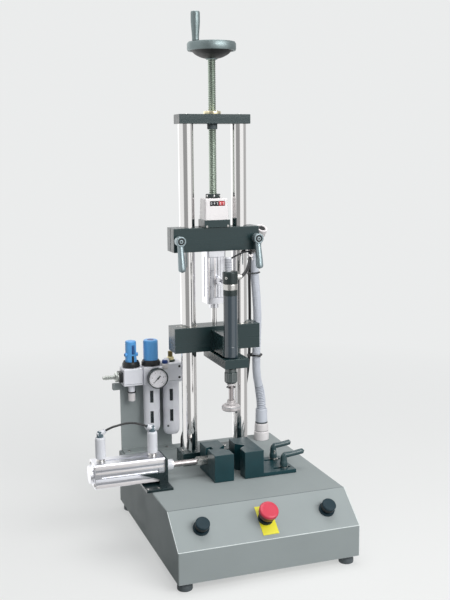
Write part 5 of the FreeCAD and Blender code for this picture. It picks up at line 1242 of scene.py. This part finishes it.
make_spindle()
make_handwheel()
make_crank_grip()
make_spindle_nut()
make_indicator_drums()
make_indicator_screws()
make_bar_lever("crossbar_lever_left", "bar_lever_left")
make_bar_lever("crossbar_lever_right", "bar_lever_right")
make_hand_lever("plate_lever_front", "lever_front", 5.0, 0.0)
make_hand_lever("plate_lever_rear", "lever_rear", 0.0, 3.0)
make_driver()
make_clutch_nut()
make_chuck()
make_drive_shaft()
make_flow_valves()
make_cylinder_trim()
make_knobs()
make_unit_trim()
make_gauge()
make_inlet()
make_glands()
make_conduit()
make_head_hoses()
make_base_hoses()
make_buttons()
make_stop_plate()
make_feet()
make_painted_bend_lines()
make_base_screws()
make_head_screws()
make_lift_trim()

# Camera, floor and light
PALE = (0.83, 0.84, 0.84, 1.0)
SCREEN_STRENGTH = 2.8


def make_camera():
    data = bpy.data.cameras.new("camera")
    data.lens = 56.18
    data.sensor_width = 36.0
    camera = new_object("camera", data)
    right = Vector((0.94177, -0.33621, -0.00788))
    up = Vector((0.06158, 0.14936, 0.98683))
    back = Vector((-0.33061, -0.92986, 0.16136))
    turn = Matrix((right, up, back)).transposed().to_4x4()
    camera.matrix_world = Matrix.Translation(Vector((-0.62965, -1.91734, 0.87688))) @ turn
    bpy.context.scene.camera = camera


def studio_level(tree, direction):
    """How bright the studio is round the object, from a horizontal direction: a wide bright screen on each
    side of the camera, dimmer ones between and beside them, and a bright one behind to the left."""
    toward = dot_product(tree, direction, (-0.335, -0.942, 0.0))
    beside = dot_product(tree, direction, (0.942, -0.335, 0.0))
    angle = output_of(tree, "Math", "Value", {0: beside, 1: toward}, operation="ARCTAN2")
    ramp = tree.nodes.new("ShaderNodeValToRGB")
    set_inputs(tree, ramp, {"Fac": ranged(tree, angle, 0.0, 1.0, -math.pi, math.pi)})
    stops = ((-180, 0.34), (-160, 0.46), (-148, 0.58), (-128, 0.58), (-116, 0.36), (-44, 0.36), (-36, 0.13),
             (16, 0.13), (23, 0.38), (74, 0.38), (84, 0.17), (140, 0.2), (165, 0.34), (180, 0.34))
    elements = ramp.color_ramp.elements
    while len(elements) < len(stops):
        elements.new(0.5)
    for element, (degrees, level) in zip(elements, stops):
        element.position = (degrees + 180) / 360
        element.color = (level, level, level, 1.0)
    return ramp.outputs["Color"]


def make_floor():
    """A pale floor that keeps the object's shadow and turns into the backdrop far away. Metal sees the
    studio's screens in it."""
    material, tree, shader = new_material("floor")
    camera_ray = output_of(tree, "LightPath", "Is Camera Ray")
    tint = noise_value(tree, 0.8)
    seen = mixed(tree, tint, srgb((238, 238, 236)), srgb((243, 243, 241)))
    bounced = mixed(tree, tint, srgb((124, 126, 126)), srgb((130, 132, 132)))
    set_inputs(tree, shader, {"Roughness": 0.85, "Base Color": mixed(tree, camera_ray, bounced, seen)})
    place = output_of(tree, "TexCoord", "Object")
    distance = output_of(tree, "VectorMath", "Value", {0: place}, operation="LENGTH")
    share = output_of(tree, "Math", "Value", {0: camera_ray, 1: ranged(tree, distance, 0.55, 1.0, 0.4, 2.2)},
                      operation="MULTIPLY")
    pale = output_of(tree, "Emission", "Emission", {"Color": PALE})
    screens = output_of(tree, "Emission", "Emission", {"Color": studio_level(tree, place),
                                                       "Strength": SCREEN_STRENGTH})
    fading = mixed_shader(tree, share, shader.outputs["BSDF"], pale)
    mirrored = mixed_shader(tree, output_of(tree, "LightPath", "Is Glossy Ray"), fading, screens)
    set_inputs(tree, tree.nodes["Material Output"], {"Surface": mirrored})
    mesh = bpy.data.meshes.new("floor")
    size = 14.0
    mesh.from_pydata([(-size, -size, 0), (size, -size, 0), (size, size, 0), (-size, size, 0)], [], [(0, 1, 2, 3)])
    mesh.materials.append(material)
    new_object("floor", mesh)


def make_world():
    """A pale background for the camera, the studio's screens for metal, and a soft fill from the front
    for the rest."""
    world = bpy.data.worlds.new("studio")
    world.use_nodes = True
    bpy.context.scene.world = world
    tree = world.node_tree
    tree.nodes.clear()
    place = output_of(tree, "TexCoord", "Generated")
    screens = output_of(tree, "Background", "Background", {"Color": studio_level(tree, place),
                                                           "Strength": SCREEN_STRENGTH})
    facing = dot_product(tree, place, (0.45, -0.893, 0.0))
    fill = output_of(tree, "Background", "Background", {"Color": (0.95, 0.98, 1.0, 1.0),
                                                        "Strength": ranged(tree, facing, 0.04, 1.0, -0.6, 1.0)})
    backdrop = output_of(tree, "Background", "Background", {"Color": PALE})
    unseen = mixed_shader(tree, output_of(tree, "LightPath", "Is Glossy Ray"), fill, screens)
    seen = mixed_shader(tree, output_of(tree, "LightPath", "Is Camera Ray"), unseen, backdrop)
    set_inputs(tree, tree.nodes.new("ShaderNodeOutputWorld"), {"Surface": seen})


def make_lamp(name, place, target, size, power):
    data = bpy.data.lights.new(name, "AREA")
    data.shape = "RECTANGLE"
    data.size, data.size_y = size
    data.energy = power
    lamp = new_object(name, data)
    lamp.location = place
    lamp.rotation_mode = "QUATERNION"
    lamp.rotation_quaternion = (Vector(target) - Vector(place)).to_track_quat("-Z", "Y")


make_camera()
make_floor()
make_world()
make_lamp("key", (1.0, -2.15, 1.8), (0, 0, 0.45), (1.8, 1.1), 42.0)
make_lamp("top", (0.1, 0.1, 2.7), (0, 0, 0.4), (1.8, 1.8), 26.0)

bpy.context.scene.view_settings.view_transform = "Standard"
